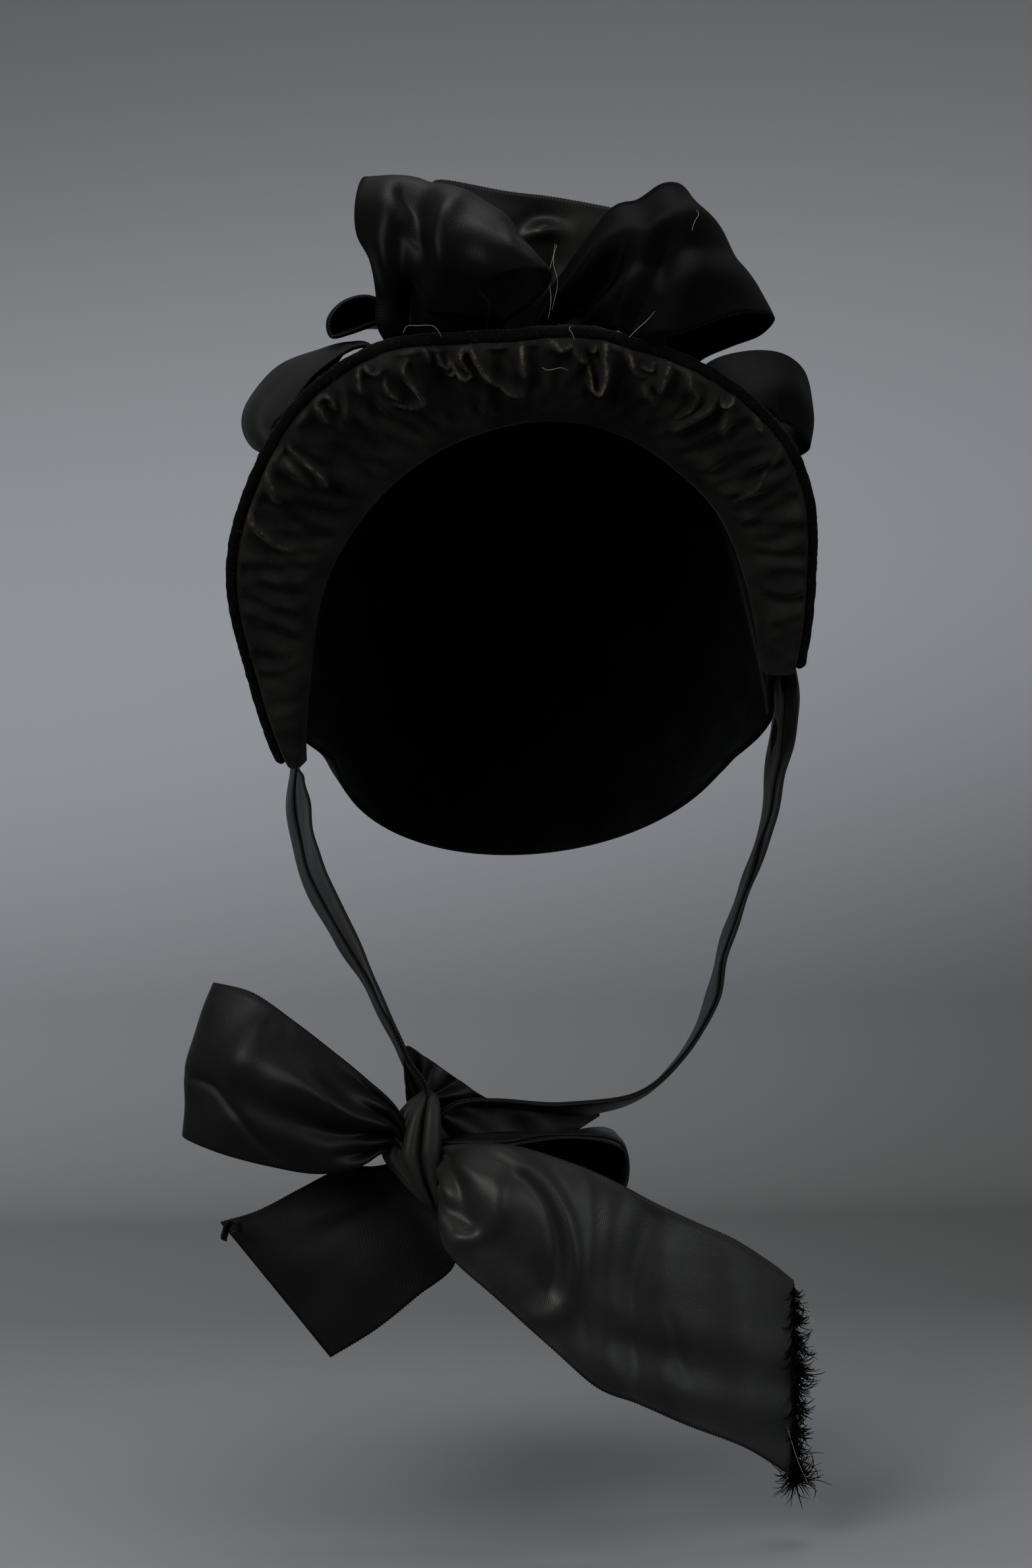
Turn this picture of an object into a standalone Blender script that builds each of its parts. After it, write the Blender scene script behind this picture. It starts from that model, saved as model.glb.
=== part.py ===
"""Black velvet bonnet with a ruched brim, satin ribbon loops on top and wide ties in a bow under the chin.

Metres, +Z up. The front of the bonnet faces -Y and +X is on the viewer's right.
The origin is where the top of the head seats inside the crown, right above the ear line.
"""
from collections import namedtuple
from math import atan2, cos, exp, hypot, pi, radians, sin

import bmesh
import bpy
from mathutils import Vector

# Crown: bows that all turn about the ear line, like the bows of a pram hood
CROWN_HEIGHT = 0.120
CROWN_HALF_WIDTH = 0.073
CROWN_WALL = 0.002
FRONT_TILT = radians(-32)
NAPE_TILT = radians(112)
SHAPED_TILT = radians(30)
LEFT_SIDE_ANGLE = radians(-85)
RIGHT_SIDE_ANGLE = radians(84)
RIGHT_FRONT_ANGLE = radians(75)

# Brim, its ruched facing and its rolled binding
BRIM_WIDTH = 0.0305
BRIM_WALL = 0.002
BRIM_FLARE = radians(16)
BRIM_LEFT_ANGLE = radians(-91)
BRIM_RIGHT_ANGLE = radians(74)
FACING_WALL = 0.0012
FACING_PUFF = 0.0022
GATHER_HEIGHT = 0.0034
GATHERS = 22
GATHER_SWAY = 0.30
GATHER_BASE = 0.35
BINDING_RADIUS = 0.0018
BINDING_STEPS = 45
RIGHT_TIE_ANGLE = radians(70)

# Ribbon
RIBBON_WIDTH = 0.052
RIBBON_WALL = 0.001
TOP_LOOP_REACH = 0.060
TOP_LOOP_RISE = 0.046
LEFT_LOOP_ANGLE = radians(-45)
LEFT_LOOP_REACH = 0.044
LEFT_LOOP_RISE = 0.034
RIGHT_LOOP_ANGLE = radians(37)
RIGHT_LOOP_REACH = 0.030
RIGHT_LOOP_RISE = 0.030

# Knot under the chin, its loops and its free ends
KNOT_SIDE = -0.043
KNOT_FORWARD = 0.083
KNOT_DROP = 0.231
KNOT_LENGTH = 0.033
KNOT_WIDTH = 0.018
KNOT_DEPTH = 0.016
CHIN_LOOP_REACH = 0.062
CHIN_LOOP_RISE = 0.046
SHORT_LOOP_REACH = 0.060
LEFT_TAIL_REACH = 0.054
LEFT_TAIL_DROP = 0.052
RIGHT_TAIL_REACH = 0.108
RIGHT_TAIL_DROP = 0.088
FRINGE_HEAD = 0.0012
FRINGE_LENGTH = 0.0085
FRINGE_SHORTEST = 0.45
FRINGE_STRIPS = 13

# Clearance that every piece keeps to the piece it is sewn to, and what the ribbons add at the
# brim's rim: a margin that grows over the last share of its width, then leans over it
SEAM_GAP = 0.0003
RIM_CLEARANCE = 0.0026
RIM_SHARE = 0.7
RIM_SLOPE = 1.6

# Bows at equal steps of tilt from the front edge to the nape, as shares of the crown's sizes
Bow = namedtuple("Bow", "half_width height")
BOWS = (
    Bow(1.00, 0.950),
    Bow(1.01, 0.995),
    Bow(1.015, 0.995),
    Bow(1.01, 0.955),
    Bow(0.97, 0.885),
    Bow(0.90, 0.820),
    Bow(0.82, 0.745),
)

# The front edge at equal steps of angle from its left end to its right end: how far the bow
# stands off its oval, and the brim's width as a share of BRIM_WIDTH
Edge = namedtuple("Edge", "stand_off width")
FRONT_EDGE = (
    Edge(1.00, 0.22),
    Edge(1.02, 0.56),
    Edge(1.07, 0.92),
    Edge(1.065, 1.13),
    Edge(1.04, 1.25),
    Edge(1.015, 1.12),
    Edge(1.005, 1.00),
    Edge(1.00, 1.00),
    Edge(1.00, 1.00),
    Edge(1.015, 0.88),
    Edge(1.00, 0.60),
    Edge(0.985, 0.36),
)

# A ribbon's section: its two selvedges as shares of three sizes (sideways, back and up), then
# how far it puffs out between them and how much of the ribbon's pleats it shows
Section = namedtuple("Section", "near far puff pleat")
Pleat = namedtuple("Pleat", "at spread height")

TOP_LEFT_LOOP = (
    Section((-0.63, 0.56, -0.50), (-0.33, 0.56, -0.50), 0.00, 0.0),
    Section((-0.77, 0.31, -0.18), (-0.38, 0.27, -0.18), 0.02, 0.4),
    Section((-0.88, 0.15, 0.00), (-0.38, 0.08, -0.01), 0.05, 0.8),
    Section((-0.89, 0.10, 0.20), (-0.38, -0.08, 0.11), 0.08, 1.0),
    Section((-0.92, 0.06, 0.39), (-0.44, -0.19, 0.20), 0.10, 1.0),
    Section((-0.98, 0.10, 0.56), (-0.28, -0.29, 0.28), 0.12, 1.0),
    Section((-0.98, 0.17, 0.78), (-0.12, -0.29, 0.28), 0.18, 1.0),
    Section((-0.93, 0.38, 0.96), (-0.12, -0.13, 0.20), 0.26, 0.8),
    Section((-0.83, 0.56, 0.88), (-0.19, 0.04, 0.11), 0.22, 0.5),
    Section((-0.73, 0.65, 0.56), (-0.27, 0.19, 0.06), 0.12, 0.2),
    Section((-0.62, 0.65, 0.17), (-0.30, 0.38, -0.05), 0.04, 0.0),
    Section((-0.50, 0.64, -0.40), (-0.27, 0.56, -0.44), 0.00, 0.0),
)
TOP_LEFT_PLEATS = (Pleat(0.30, 0.09, -0.11), Pleat(0.62, 0.14, 0.05))

TOP_RIGHT_LOOP = (
    Section((-0.12, 0.58, -0.27), (0.00, 0.50, -0.36), 0.00, 0.0),
    Section((-0.10, 0.54, 0.17), (0.03, 0.23, -0.14), 0.04, 0.5),
    Section((0.05, 0.48, 0.47), (0.20, 0.06, -0.07), 0.06, 0.9),
    Section((0.24, 0.40, 0.80), (0.38, -0.08, -0.07), 0.08, 1.0),
    Section((0.37, 0.37, 0.86), (0.52, -0.13, -0.05), 0.08, 1.0),
    Section((0.49, 0.38, 0.96), (0.66, -0.13, 0.03), 0.06, 0.9),
    Section((0.60, 0.46, 0.97), (0.82, -0.08, 0.09), 0.04, 0.6),
    Section((0.68, 0.58, 0.86), (0.98, 0.13, 0.10), 0.03, 0.3),
    Section((0.65, 0.69, 0.67), (0.95, 0.33, 0.03), 0.05, 0.1),
    Section((0.52, 0.73, 0.43), (0.82, 0.42, -0.03), 0.05, 0.0),
    Section((0.35, 0.73, 0.12), (0.67, 0.48, -0.12), 0.03, 0.0),
    Section((0.22, 0.69, -0.18), (0.47, 0.62, -0.36), 0.00, 0.0),
)
TOP_RIGHT_PLEATS = (Pleat(0.30, 0.10, 0.06), Pleat(0.52, 0.09, -0.07), Pleat(0.74, 0.10, 0.05))

TOP_BACK_BAND = (
    Section((-0.45, 0.81, -0.14), (-0.60, 0.67, 0.95), 0.00, 0.0),
    Section((-0.40, 0.90, -0.14), (-0.55, 0.75, 1.05), 0.04, 0.0),
    Section((-0.20, 0.94, -0.14), (-0.21, 0.81, 1.00), 0.06, 0.0),
    Section((0.03, 0.94, -0.14), (0.02, 0.81, 0.97), 0.05, 0.0),
    Section((0.23, 0.94, -0.14), (0.25, 0.79, 0.92), 0.02, 0.0),
)

UPPER_LEFT_LOOP = (
    Section((-0.67, 0.62, -0.57), (-0.67, 0.85, -0.60), 0.00, 0.0),
    Section((-0.70, 0.58, -0.18), (-0.70, 0.81, -0.18), 0.00, 0.0),
    Section((-0.78, 0.46, 0.14), (-0.77, 0.77, 0.17), 0.00, 0.0),
    Section((-0.90, 0.38, 0.23), (-0.87, 0.77, 0.27), 0.00, 0.0),
    Section((-1.02, 0.33, 0.19), (-0.98, 0.77, 0.25), 0.00, 0.0),
    Section((-1.10, 0.31, 0.08), (-1.07, 0.77, 0.17), 0.00, 0.0),
    Section((-1.09, 0.31, -0.03), (-1.07, 0.77, 0.10), 0.00, 0.0),
    Section((-1.00, 0.31, -0.01), (-0.97, 0.73, 0.11), 0.00, 0.0),
    Section((-0.88, 0.35, 0.06), (-0.85, 0.73, 0.11), 0.00, 0.0),
)

SIDE_LEFT_LOOP = (
    Section((0.84, 0.04, -0.03), (0.84, 0.50, -0.09), 0.00, 0.0),
    Section((0.77, -0.15, 0.50), (0.82, 0.35, 0.62), 0.00, 0.0),
    Section((0.66, -0.31, 0.81), (0.68, 0.23, 0.96), 0.00, 0.0),
    Section((0.55, -0.33, 0.82), (0.52, 0.29, 1.00), 0.02, 0.0),
    Section((0.39, -0.29, 0.67), (0.32, 0.37, 0.96), 0.03, 0.0),
    Section((0.21, -0.23, 0.45), (0.07, 0.42, 0.82), 0.03, 0.0),
    Section((0.06, -0.15, 0.28), (-0.11, 0.46, 0.57), 0.02, 0.0),
    Section((0.03, -0.10, 0.20), (-0.16, 0.48, 0.35), 0.00, 0.0),
    Section((0.09, -0.06, 0.15), (-0.09, 0.48, 0.15), 0.00, 0.0),
    Section((0.18, -0.02, 0.32), (0.09, 0.46, 0.06), 0.00, 0.0),
    Section((0.36, 0.04, 0.26), (0.32, 0.46, -0.09), 0.00, 0.0),
    Section((0.59, 0.19, -0.09), (0.55, 0.54, -0.32), 0.00, 0.0),
)

SIDE_RIGHT_LOOP = (
    Section((-0.93, 0.61, 0.00), (-0.73, 0.18, -0.07), 0.00, 0.0),
    Section((-0.87, 0.49, 0.53), (-0.73, -0.01, 0.20), 0.00, 0.0),
    Section((-0.67, 0.38, 0.80), (-0.53, -0.09, 0.23), 0.02, 0.0),
    Section((-0.30, 0.38, 0.92), (-0.20, -0.07, 0.18), 0.04, 0.0),
    Section((0.03, 0.41, 0.93), (0.02, -0.01, 0.15), 0.05, 0.0),
    Section((0.25, 0.45, 0.83), (0.18, 0.05, 0.03), 0.04, 0.0),
    Section((0.35, 0.49, 0.67), (0.25, 0.14, -0.05), 0.02, 0.0),
    Section((0.27, 0.57, 0.47), (0.17, 0.26, -0.10), 0.00, 0.0),
    Section((0.00, 0.61, 0.33), (-0.07, 0.30, -0.13), 0.00, 0.0),
    Section((-0.40, 0.68, -0.20), (-0.40, 0.38, -0.33), 0.00, 0.0),
)

# The ties' sections are shares of the way from the brim's end to the knot
LEFT_TIE = (
    Section((-0.03, -0.16, 0.03), (-0.01, 0.17, 0.03), 0.00, 0.0),
    Section((-0.08, -0.10, 0.14), (0.04, 0.32, 0.06), 0.00, 0.0),
    Section((-0.01, 0.04, 0.26), (0.07, 0.47, 0.12), 0.00, 0.0),
    Section((0.13, 0.21, 0.38), (0.12, 0.64, 0.23), 0.00, 0.0),
    Section((0.38, 0.39, 0.50), (0.27, 0.80, 0.34), 0.00, 0.0),
    Section((0.65, 0.53, 0.62), (0.50, 0.92, 0.48), 0.00, 0.0),
    Section((0.85, 0.68, 0.74), (0.69, 1.00, 0.61), 0.00, 0.0),
    Section((1.03, 0.82, 0.83), (0.92, 1.04, 0.75), 0.00, 0.0),
    Section((1.13, 0.92, 0.89), (1.10, 1.04, 0.84), 0.00, 0.0),
    Section((1.10, 0.95, 0.98), (1.07, 1.01, 0.96), 0.00, 0.0),
)
RIGHT_TIE = (
    Section((-0.04, -0.22, 0.09), (-0.03, 0.11, -0.02), 0.00, 0.0),
    Section((-0.06, -0.20, 0.19), (-0.06, 0.12, 0.07), 0.00, 0.0),
    Section((-0.03, -0.10, 0.28), (-0.06, 0.25, 0.17), 0.00, 0.0),
    Section((0.00, 0.05, 0.37), (-0.02, 0.41, 0.26), 0.00, 0.0),
    Section((0.04, 0.18, 0.46), (0.03, 0.54, 0.35), 0.00, 0.0),
    Section((0.10, 0.31, 0.54), (0.08, 0.66, 0.45), 0.00, 0.0),
    Section((0.16, 0.43, 0.63), (0.15, 0.77, 0.55), 0.00, 0.0),
    Section((0.21, 0.55, 0.72), (0.21, 0.87, 0.65), 0.00, 0.0),
    Section((0.26, 0.65, 0.80), (0.25, 0.94, 0.74), 0.00, 0.0),
    Section((0.34, 0.70, 0.88), (0.32, 0.95, 0.83), 0.00, 0.0),
    Section((0.46, 0.67, 0.95), (0.44, 0.92, 0.91), 0.00, 0.0),
    Section((0.65, 0.65, 0.96), (0.62, 0.88, 0.93), 0.00, 0.0),
    Section((0.80, 0.70, 0.95), (0.79, 0.92, 0.92), 0.00, 0.0),
    Section((0.89, 0.84, 0.94), (0.89, 0.96, 0.92), 0.00, 0.0),
    Section((0.97, 0.96, 0.96), (0.97, 1.01, 0.95), 0.00, 0.0),
)

# The knot's rings from top to bottom, as shares of its length and width
Ring = namedtuple("Ring", "rise side width depth")
KNOT_RINGS = (
    Ring(0.50, 0.20, 0.10, 0.12),
    Ring(0.42, 0.16, 0.44, 0.52),
    Ring(0.30, 0.08, 0.68, 0.84),
    Ring(0.10, 0.00, 0.88, 1.00),
    Ring(-0.06, -0.03, 0.94, 1.00),
    Ring(-0.25, 0.08, 0.64, 0.78),
    Ring(-0.42, 0.22, 0.34, 0.48),
    Ring(-0.50, 0.28, 0.10, 0.14),
)
KNOT_PLEATS = 3
KNOT_PLEAT_SHARE = 0.10

CHIN_LEFT_LOOP = (
    Section((-0.02, -0.06, -0.09), (-0.02, -0.08, 0.11), 0.00, 0.0),
    Section((-0.14, -0.07, -0.01), (-0.09, -0.09, 0.27), 0.03, 0.5),
    Section((-0.27, -0.17, -0.08), (-0.23, -0.15, 0.45), 0.08, 1.0),
    Section((-0.45, -0.23, -0.10), (-0.37, -0.19, 0.61), 0.12, 1.0),
    Section((-0.66, -0.23, -0.05), (-0.53, -0.17, 0.78), 0.12, 0.6),
    Section((-0.85, -0.15, 0.01), (-0.71, -0.12, 0.95), 0.08, 0.3),
    Section((-1.01, 0.02, 0.08), (-0.87, 0.04, 1.00), 0.03, 0.0),
    Section((-0.98, 0.12, 0.10), (-0.87, 0.13, 0.98), 0.00, 0.0),
    Section((-0.79, 0.12, 0.07), (-0.71, 0.13, 0.90), 0.02, 0.0),
    Section((-0.53, 0.08, 0.00), (-0.48, 0.10, 0.70), 0.03, 0.0),
    Section((-0.27, 0.06, -0.02), (-0.24, 0.06, 0.43), 0.02, 0.0),
    Section((-0.11, 0.04, 0.00), (-0.08, 0.03, 0.24), 0.00, 0.0),
    Section((-0.02, 0.04, -0.07), (-0.02, 0.04, 0.11), 0.00, 0.0),
)
CHIN_LEFT_PLEATS = (Pleat(0.36, 0.10, -0.05), Pleat(0.62, 0.12, 0.05))

CHIN_RIGHT_LOOP = (
    Section((0.05, -0.02, 0.02), (0.07, 0.06, 0.01), 0.00, 0.0),
    Section((0.20, -0.10, 0.03), (0.22, 0.13, 0.03), 0.00, 0.0),
    Section((0.40, -0.15, 0.04), (0.40, 0.33, 0.03), 0.00, 0.0),
    Section((0.70, -0.12, 0.07), (0.72, 0.48, 0.00), 0.00, 0.0),
    Section((0.93, -0.04, 0.01), (0.95, 0.56, 0.02), 0.00, 0.0),
    Section((1.00, 0.04, -0.11), (1.02, 0.60, -0.07), 0.00, 0.0),
    Section((0.97, 0.10, -0.30), (0.98, 0.60, -0.20), 0.00, 0.0),
    Section((0.78, 0.12, -0.39), (0.82, 0.56, -0.26), 0.00, 0.0),
    Section((0.48, 0.12, -0.33), (0.50, 0.44, -0.22), 0.00, 0.0),
    Section((0.22, 0.10, -0.20), (0.23, 0.25, -0.13), 0.00, 0.0),
    Section((0.05, 0.06, -0.11), (0.05, 0.10, -0.05), 0.00, 0.0),
)

LEFT_TAIL = (
    Section((0.07, 0.04, -0.17), (-0.02, 0.08, -0.06), 0.00, 0.0),
    Section((0.18, 0.10, -0.40), (-0.19, 0.17, -0.11), 0.00, 0.0),
    Section((0.21, 0.08, -0.63), (-0.35, 0.21, -0.12), 0.02, 0.0),
    Section((0.01, -0.02, -0.78), (-0.57, 0.17, -0.22), 0.02, 0.0),
    Section((-0.20, -0.02, -0.95), (-0.80, 0.10, -0.33), 0.01, 0.0),
    Section((-0.43, 0.02, -1.10), (-0.99, 0.06, -0.38), 0.00, 0.0),
)

RIGHT_TAIL = (
    Section((0.04, -0.05, 0.00), (0.04, -0.01, -0.09), 0.00, 0.0),
    Section((0.09, -0.13, 0.02), (0.06, -0.12, -0.16), 0.05, 0.5),
    Section((0.16, -0.23, 0.03), (0.06, -0.25, -0.25), 0.12, 1.0),
    Section((0.26, -0.27, 0.02), (0.09, -0.35, -0.32), 0.12, 1.0),
    Section((0.37, -0.29, -0.02), (0.19, -0.38, -0.43), 0.06, 0.6),
    Section((0.47, -0.29, -0.07), (0.34, -0.37, -0.60), 0.04, 0.8),
    Section((0.59, -0.25, -0.15), (0.45, -0.33, -0.72), 0.03, 0.8),
    Section((0.70, -0.17, -0.22), (0.56, -0.29, -0.78), 0.02, 0.5),
    Section((0.82, -0.10, -0.29), (0.69, -0.21, -0.86), 0.01, 0.2),
    Section((0.93, -0.02, -0.38), (0.85, -0.10, -0.95), 0.00, 0.0),
    Section((0.99, 0.06, -0.44), (0.99, 0.06, -1.07), 0.00, 0.0),
)
RIGHT_TAIL_PLEATS = (Pleat(0.72, 0.10, -0.10), Pleat(0.35, 0.14, 0.04))

EAR_LINE = Vector((0, 0, -CROWN_HEIGHT))
KNOT = Vector((KNOT_SIDE, -KNOT_FORWARD, -KNOT_DROP))

# Which side of a sheet's surface its wall stands on
OUTWARD = 1.0
CENTRED = 0.0

parts = None
cutters = None


# Scene

def clear_scene():
    for item in list(bpy.data.objects):
        bpy.data.objects.remove(item, do_unlink=True)


def new_collection(name):
    collection = bpy.data.collections.new(name)
    bpy.context.scene.collection.children.link(collection)
    return collection


def cloth_material(name, color, roughness):
    material = bpy.data.materials.new(name)
    material.use_nodes = True
    shader = material.node_tree.nodes["Principled BSDF"]
    shader.inputs["Base Color"].default_value = (*color, 1.0)
    shader.inputs["Roughness"].default_value = roughness
    shader.inputs["Metallic"].default_value = 0.0
    return material


def add_object(name, shape, material, collection):
    """Turns a bmesh into a named object with smooth shading."""
    mesh = bpy.data.meshes.new(name)
    shape.to_mesh(mesh)
    shape.free()
    mesh.shade_smooth()
    item = bpy.data.objects.new(name, mesh)
    collection.objects.link(item)
    mesh.materials.append(material)
    return item


# Curves through tables

def through(rows, share):
    """The smooth curve through evenly spaced rows of numbers or vectors, at a share of its length."""
    place = min(max(share, 0.0), 1.0) * (len(rows) - 1)
    row = min(int(place), len(rows) - 2)
    step = place - row
    here = rows[row]
    after = rows[row + 1]
    before = rows[row - 1] if row > 0 else here * 2 - after
    beyond = rows[row + 2] if row + 2 < len(rows) else after * 2 - here
    bend = before * 2 - here * 5 + after * 4 - beyond
    twist = here * 3 - before - after * 3 + beyond
    return here + ((after - before) * step + bend * step ** 2 + twist * step ** 3) * 0.5


def column(rows, name):
    return [getattr(row, name) for row in rows]


def bump(distance):
    return exp(-distance * distance)


# Crown and brim

def bow_size(tilt):
    """Half width and height of the crown's bow at a tilt."""
    share = (tilt - FRONT_TILT) / (NAPE_TILT - FRONT_TILT)
    half_width = CROWN_HALF_WIDTH * through(column(BOWS, "half_width"), share)
    height = CROWN_HEIGHT * through(column(BOWS, "height"), share)
    return half_width, height


def edge_share(angle):
    return (angle - BRIM_LEFT_ANGLE) / (BRIM_RIGHT_ANGLE - BRIM_LEFT_ANGLE)


def stand_off(angle, tilt):
    """How far the bow stands off its oval: all of the front edge's shape, fading towards the back."""
    fade = min(max((SHAPED_TILT - tilt) / (SHAPED_TILT - FRONT_TILT), 0.0), 1.0)
    return 1 + (through(column(FRONT_EDGE, "stand_off"), edge_share(angle)) - 1) * fade


def bow_axes(tilt):
    """The bow plane's upward direction and its forward face direction."""
    return Vector((0, sin(tilt), cos(tilt))), Vector((0, -cos(tilt), sin(tilt)))


def bow_outward(angle, tilt):
    half_width, height = bow_size(tilt)
    upward, _ = bow_axes(tilt)
    return (Vector((sin(angle) / half_width, 0, 0)) + upward * (cos(angle) / height)).normalized()


def bow_point(angle, tilt, out=0.0):
    """A point on the crown's inner surface, or a distance out from it."""
    half_width, height = bow_size(tilt)
    upward, _ = bow_axes(tilt)
    share = stand_off(angle, tilt)
    place = Vector((half_width * sin(angle) * share, 0, 0)) + upward * (height * cos(angle) * share)
    return EAR_LINE + place + bow_outward(angle, tilt) * out


def brim_width(angle):
    """The brim's full width at an angle, with the binding on."""
    return BRIM_WIDTH * through(column(FRONT_EDGE, "width"), edge_share(angle))


def brim_point(angle, across, lift=0.0):
    """A point on the brim's back face: a distance across from the crown, lifted off its front."""
    _, forward = bow_axes(FRONT_TILT)
    outward = bow_outward(angle, FRONT_TILT)
    along = outward * cos(BRIM_FLARE) + forward * sin(BRIM_FLARE)
    facing = forward * cos(BRIM_FLARE) - outward * sin(BRIM_FLARE)
    seam = bow_point(angle, FRONT_TILT) + forward * (2 * SEAM_GAP)
    return seam + along * across + facing * lift


def board_width(angle):
    """The width left for the brim's board inside its binding."""
    return brim_width(angle) - 2 * BINDING_RADIUS - SEAM_GAP


# Keeping ribbons off the velvet

def clear_of_crown(point, clearance):
    """Moves a point straight out until it is clear of the crown's outer face."""
    offset = point - EAR_LINE
    tilt = atan2(offset.y, offset.z)
    if not FRONT_TILT < tilt < NAPE_TILT:
        return point
    half_width, height = bow_size(tilt)
    upward, _ = bow_axes(tilt)
    rise = offset.dot(upward)
    angle = atan2(offset.x / half_width, rise / height)
    reach = hypot(offset.x / half_width, rise / height)
    slope = Vector((offset.x / half_width ** 2, 0, 0)) + upward * (rise / height ** 2)
    slope /= reach
    distance = (reach - stand_off(angle, tilt)) / slope.length
    short = CROWN_WALL + clearance - distance
    return point + slope.normalized() * max(short, 0.0)


def clear_of_brim(point, clearance):
    """Moves a point behind the brim, and in front of it only where it stands well above the rim."""
    upward, forward = bow_axes(FRONT_TILT)
    offset = point - EAR_LINE
    half_width, height = bow_size(FRONT_TILT)
    angle = atan2(offset.x / half_width, offset.dot(upward) / height)
    seam = brim_point(angle, 0.0)
    rim = brim_point(angle, board_width(angle) + SEAM_GAP + BINDING_RADIUS, BRIM_WALL)
    spine = rim - seam
    across = (point - seam).dot(spine) / spine.length_squared
    near_rim = min(max(across / RIM_SHARE - 1, 0.0) / (1 / RIM_SHARE - 1), 1.0)
    keep = clearance + RIM_CLEARANCE * near_rim
    above = max(across - 1, 0.0) * spine.length
    back = forward * -cos(BRIM_FLARE) + bow_outward(angle, FRONT_TILT) * sin(BRIM_FLARE)
    depth = (point - seam).dot(back)
    return point + back * max(keep - RIM_SLOPE * above - depth, 0.0)


def clear_of_bonnet(point):
    clearance = SEAM_GAP + RIBBON_WALL / 2
    return clear_of_crown(clear_of_brim(point, clearance), clearance)


def clear_of_seam(point):
    return clear_of_crown(point, SEAM_GAP + RIBBON_WALL / 2)


# Sheets

def sheet(name, surface, along, across, wall, offset, material):
    """A cloth wall: a grid bent over surface(along, across), both from 0 to 1, then thickened."""
    shape = bmesh.new()
    bmesh.ops.create_grid(shape, x_segments=along, y_segments=across, size=0.5)
    for vertex in shape.verts:
        vertex.co = surface(vertex.co.x + 0.5, vertex.co.y + 0.5)
    item = add_object(name, shape, material, parts)
    solid = item.modifiers.new("Wall", "SOLIDIFY")
    solid.thickness = wall
    solid.offset = offset
    return item


def ribbon(name, rows, pleats, anchor, sizes, along, across, keep_off, material):
    """A ribbon lofted through its sections, whose shares are of the sizes from the anchor."""
    near_rail = [anchor + Vector(row.near) * sizes for row in rows]
    far_rail = [anchor + Vector(row.far) * sizes for row in rows]
    reach = 0.5 / along

    def middle(place):
        return (through(near_rail, place) + through(far_rail, place)) / 2

    def surface(place, width):
        near = through(near_rail, place)
        far = through(far_rail, place)
        heading = middle(min(place + reach, 1.0)) - middle(max(place - reach, 0.0))
        face = (far - near).cross(heading).normalized()
        puff = through(column(rows, "puff"), place) * sin(pi * width)
        shown = through(column(rows, "pleat"), place)
        relief = sum(pleat.height * bump((width - pleat.at) / pleat.spread) for pleat in pleats)
        point = near.lerp(far, width) + face * (RIBBON_WIDTH * (puff + shown * relief))
        return keep_off(point) if keep_off else point

    return sheet(name, surface, along, across, RIBBON_WALL, CENTRED, material)


# Pieces

def build_crown(material):
    def surface(along, across):
        tilt = FRONT_TILT + (NAPE_TILT - FRONT_TILT) * across
        turn = min(max((tilt - FRONT_TILT) / -FRONT_TILT, 0.0), 1.0)
        right = RIGHT_FRONT_ANGLE + (RIGHT_SIDE_ANGLE - RIGHT_FRONT_ANGLE) * turn
        return bow_point(LEFT_SIDE_ANGLE + (right - LEFT_SIDE_ANGLE) * along, tilt)

    sheet("crown", surface, 22, 18, CROWN_WALL, OUTWARD, material)


def build_brim(material):
    def surface(along, across):
        angle = BRIM_LEFT_ANGLE + (BRIM_RIGHT_ANGLE - BRIM_LEFT_ANGLE) * along
        return brim_point(angle, board_width(angle) * across)

    sheet("brim", surface, 44, 3, BRIM_WALL, OUTWARD, material)


def gather(along, across):
    """How high the ruching stands: crests that sway across the facing and fade out at its two ends."""
    sway = GATHER_SWAY * (sin(4 * across + 17 * along) + 0.7 * sin(9 * along))
    crest = (1 + cos(2 * pi * (GATHERS * along + sway))) / 2
    spread = GATHER_BASE + (1 - GATHER_BASE) * sin(pi / 2 * across)
    return crest * spread * sin(pi * along) ** 0.6


def build_facing(material):
    def surface(along, across):
        angle = BRIM_LEFT_ANGLE + (BRIM_RIGHT_ANGLE - BRIM_LEFT_ANGLE) * along
        rounded = max(sin(pi * across), 0.0) ** 0.5
        height = (FACING_PUFF + GATHER_HEIGHT * gather(along, across)) * rounded
        lift = BRIM_WALL + SEAM_GAP + height
        return brim_point(angle, (board_width(angle) - FACING_WALL) * across, lift)

    sheet("brim_facing", surface, 92, 5, FACING_WALL, OUTWARD, material)


def build_binding(material):
    """A rolled edge along the brim, over the outer edges of its board and facing."""
    route = bpy.data.curves.new("brim_binding", "CURVE")
    route.dimensions = "3D"
    route.bevel_depth = BINDING_RADIUS
    route.bevel_resolution = 2
    route.use_fill_caps = True
    line = route.splines.new("POLY")
    line.points.add(BINDING_STEPS)
    for index, point in enumerate(line.points):
        angle = BRIM_LEFT_ANGLE + (BRIM_RIGHT_ANGLE - BRIM_LEFT_ANGLE) * index / BINDING_STEPS
        middle = (BRIM_WALL + SEAM_GAP + FACING_WALL) / 2
        across = board_width(angle) + 2 * SEAM_GAP + BINDING_RADIUS
        point.co = (*brim_point(angle, across, middle), 1.0)
    item = bpy.data.objects.new("brim_binding", route)
    route.materials.append(material)
    parts.objects.link(item)


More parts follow.
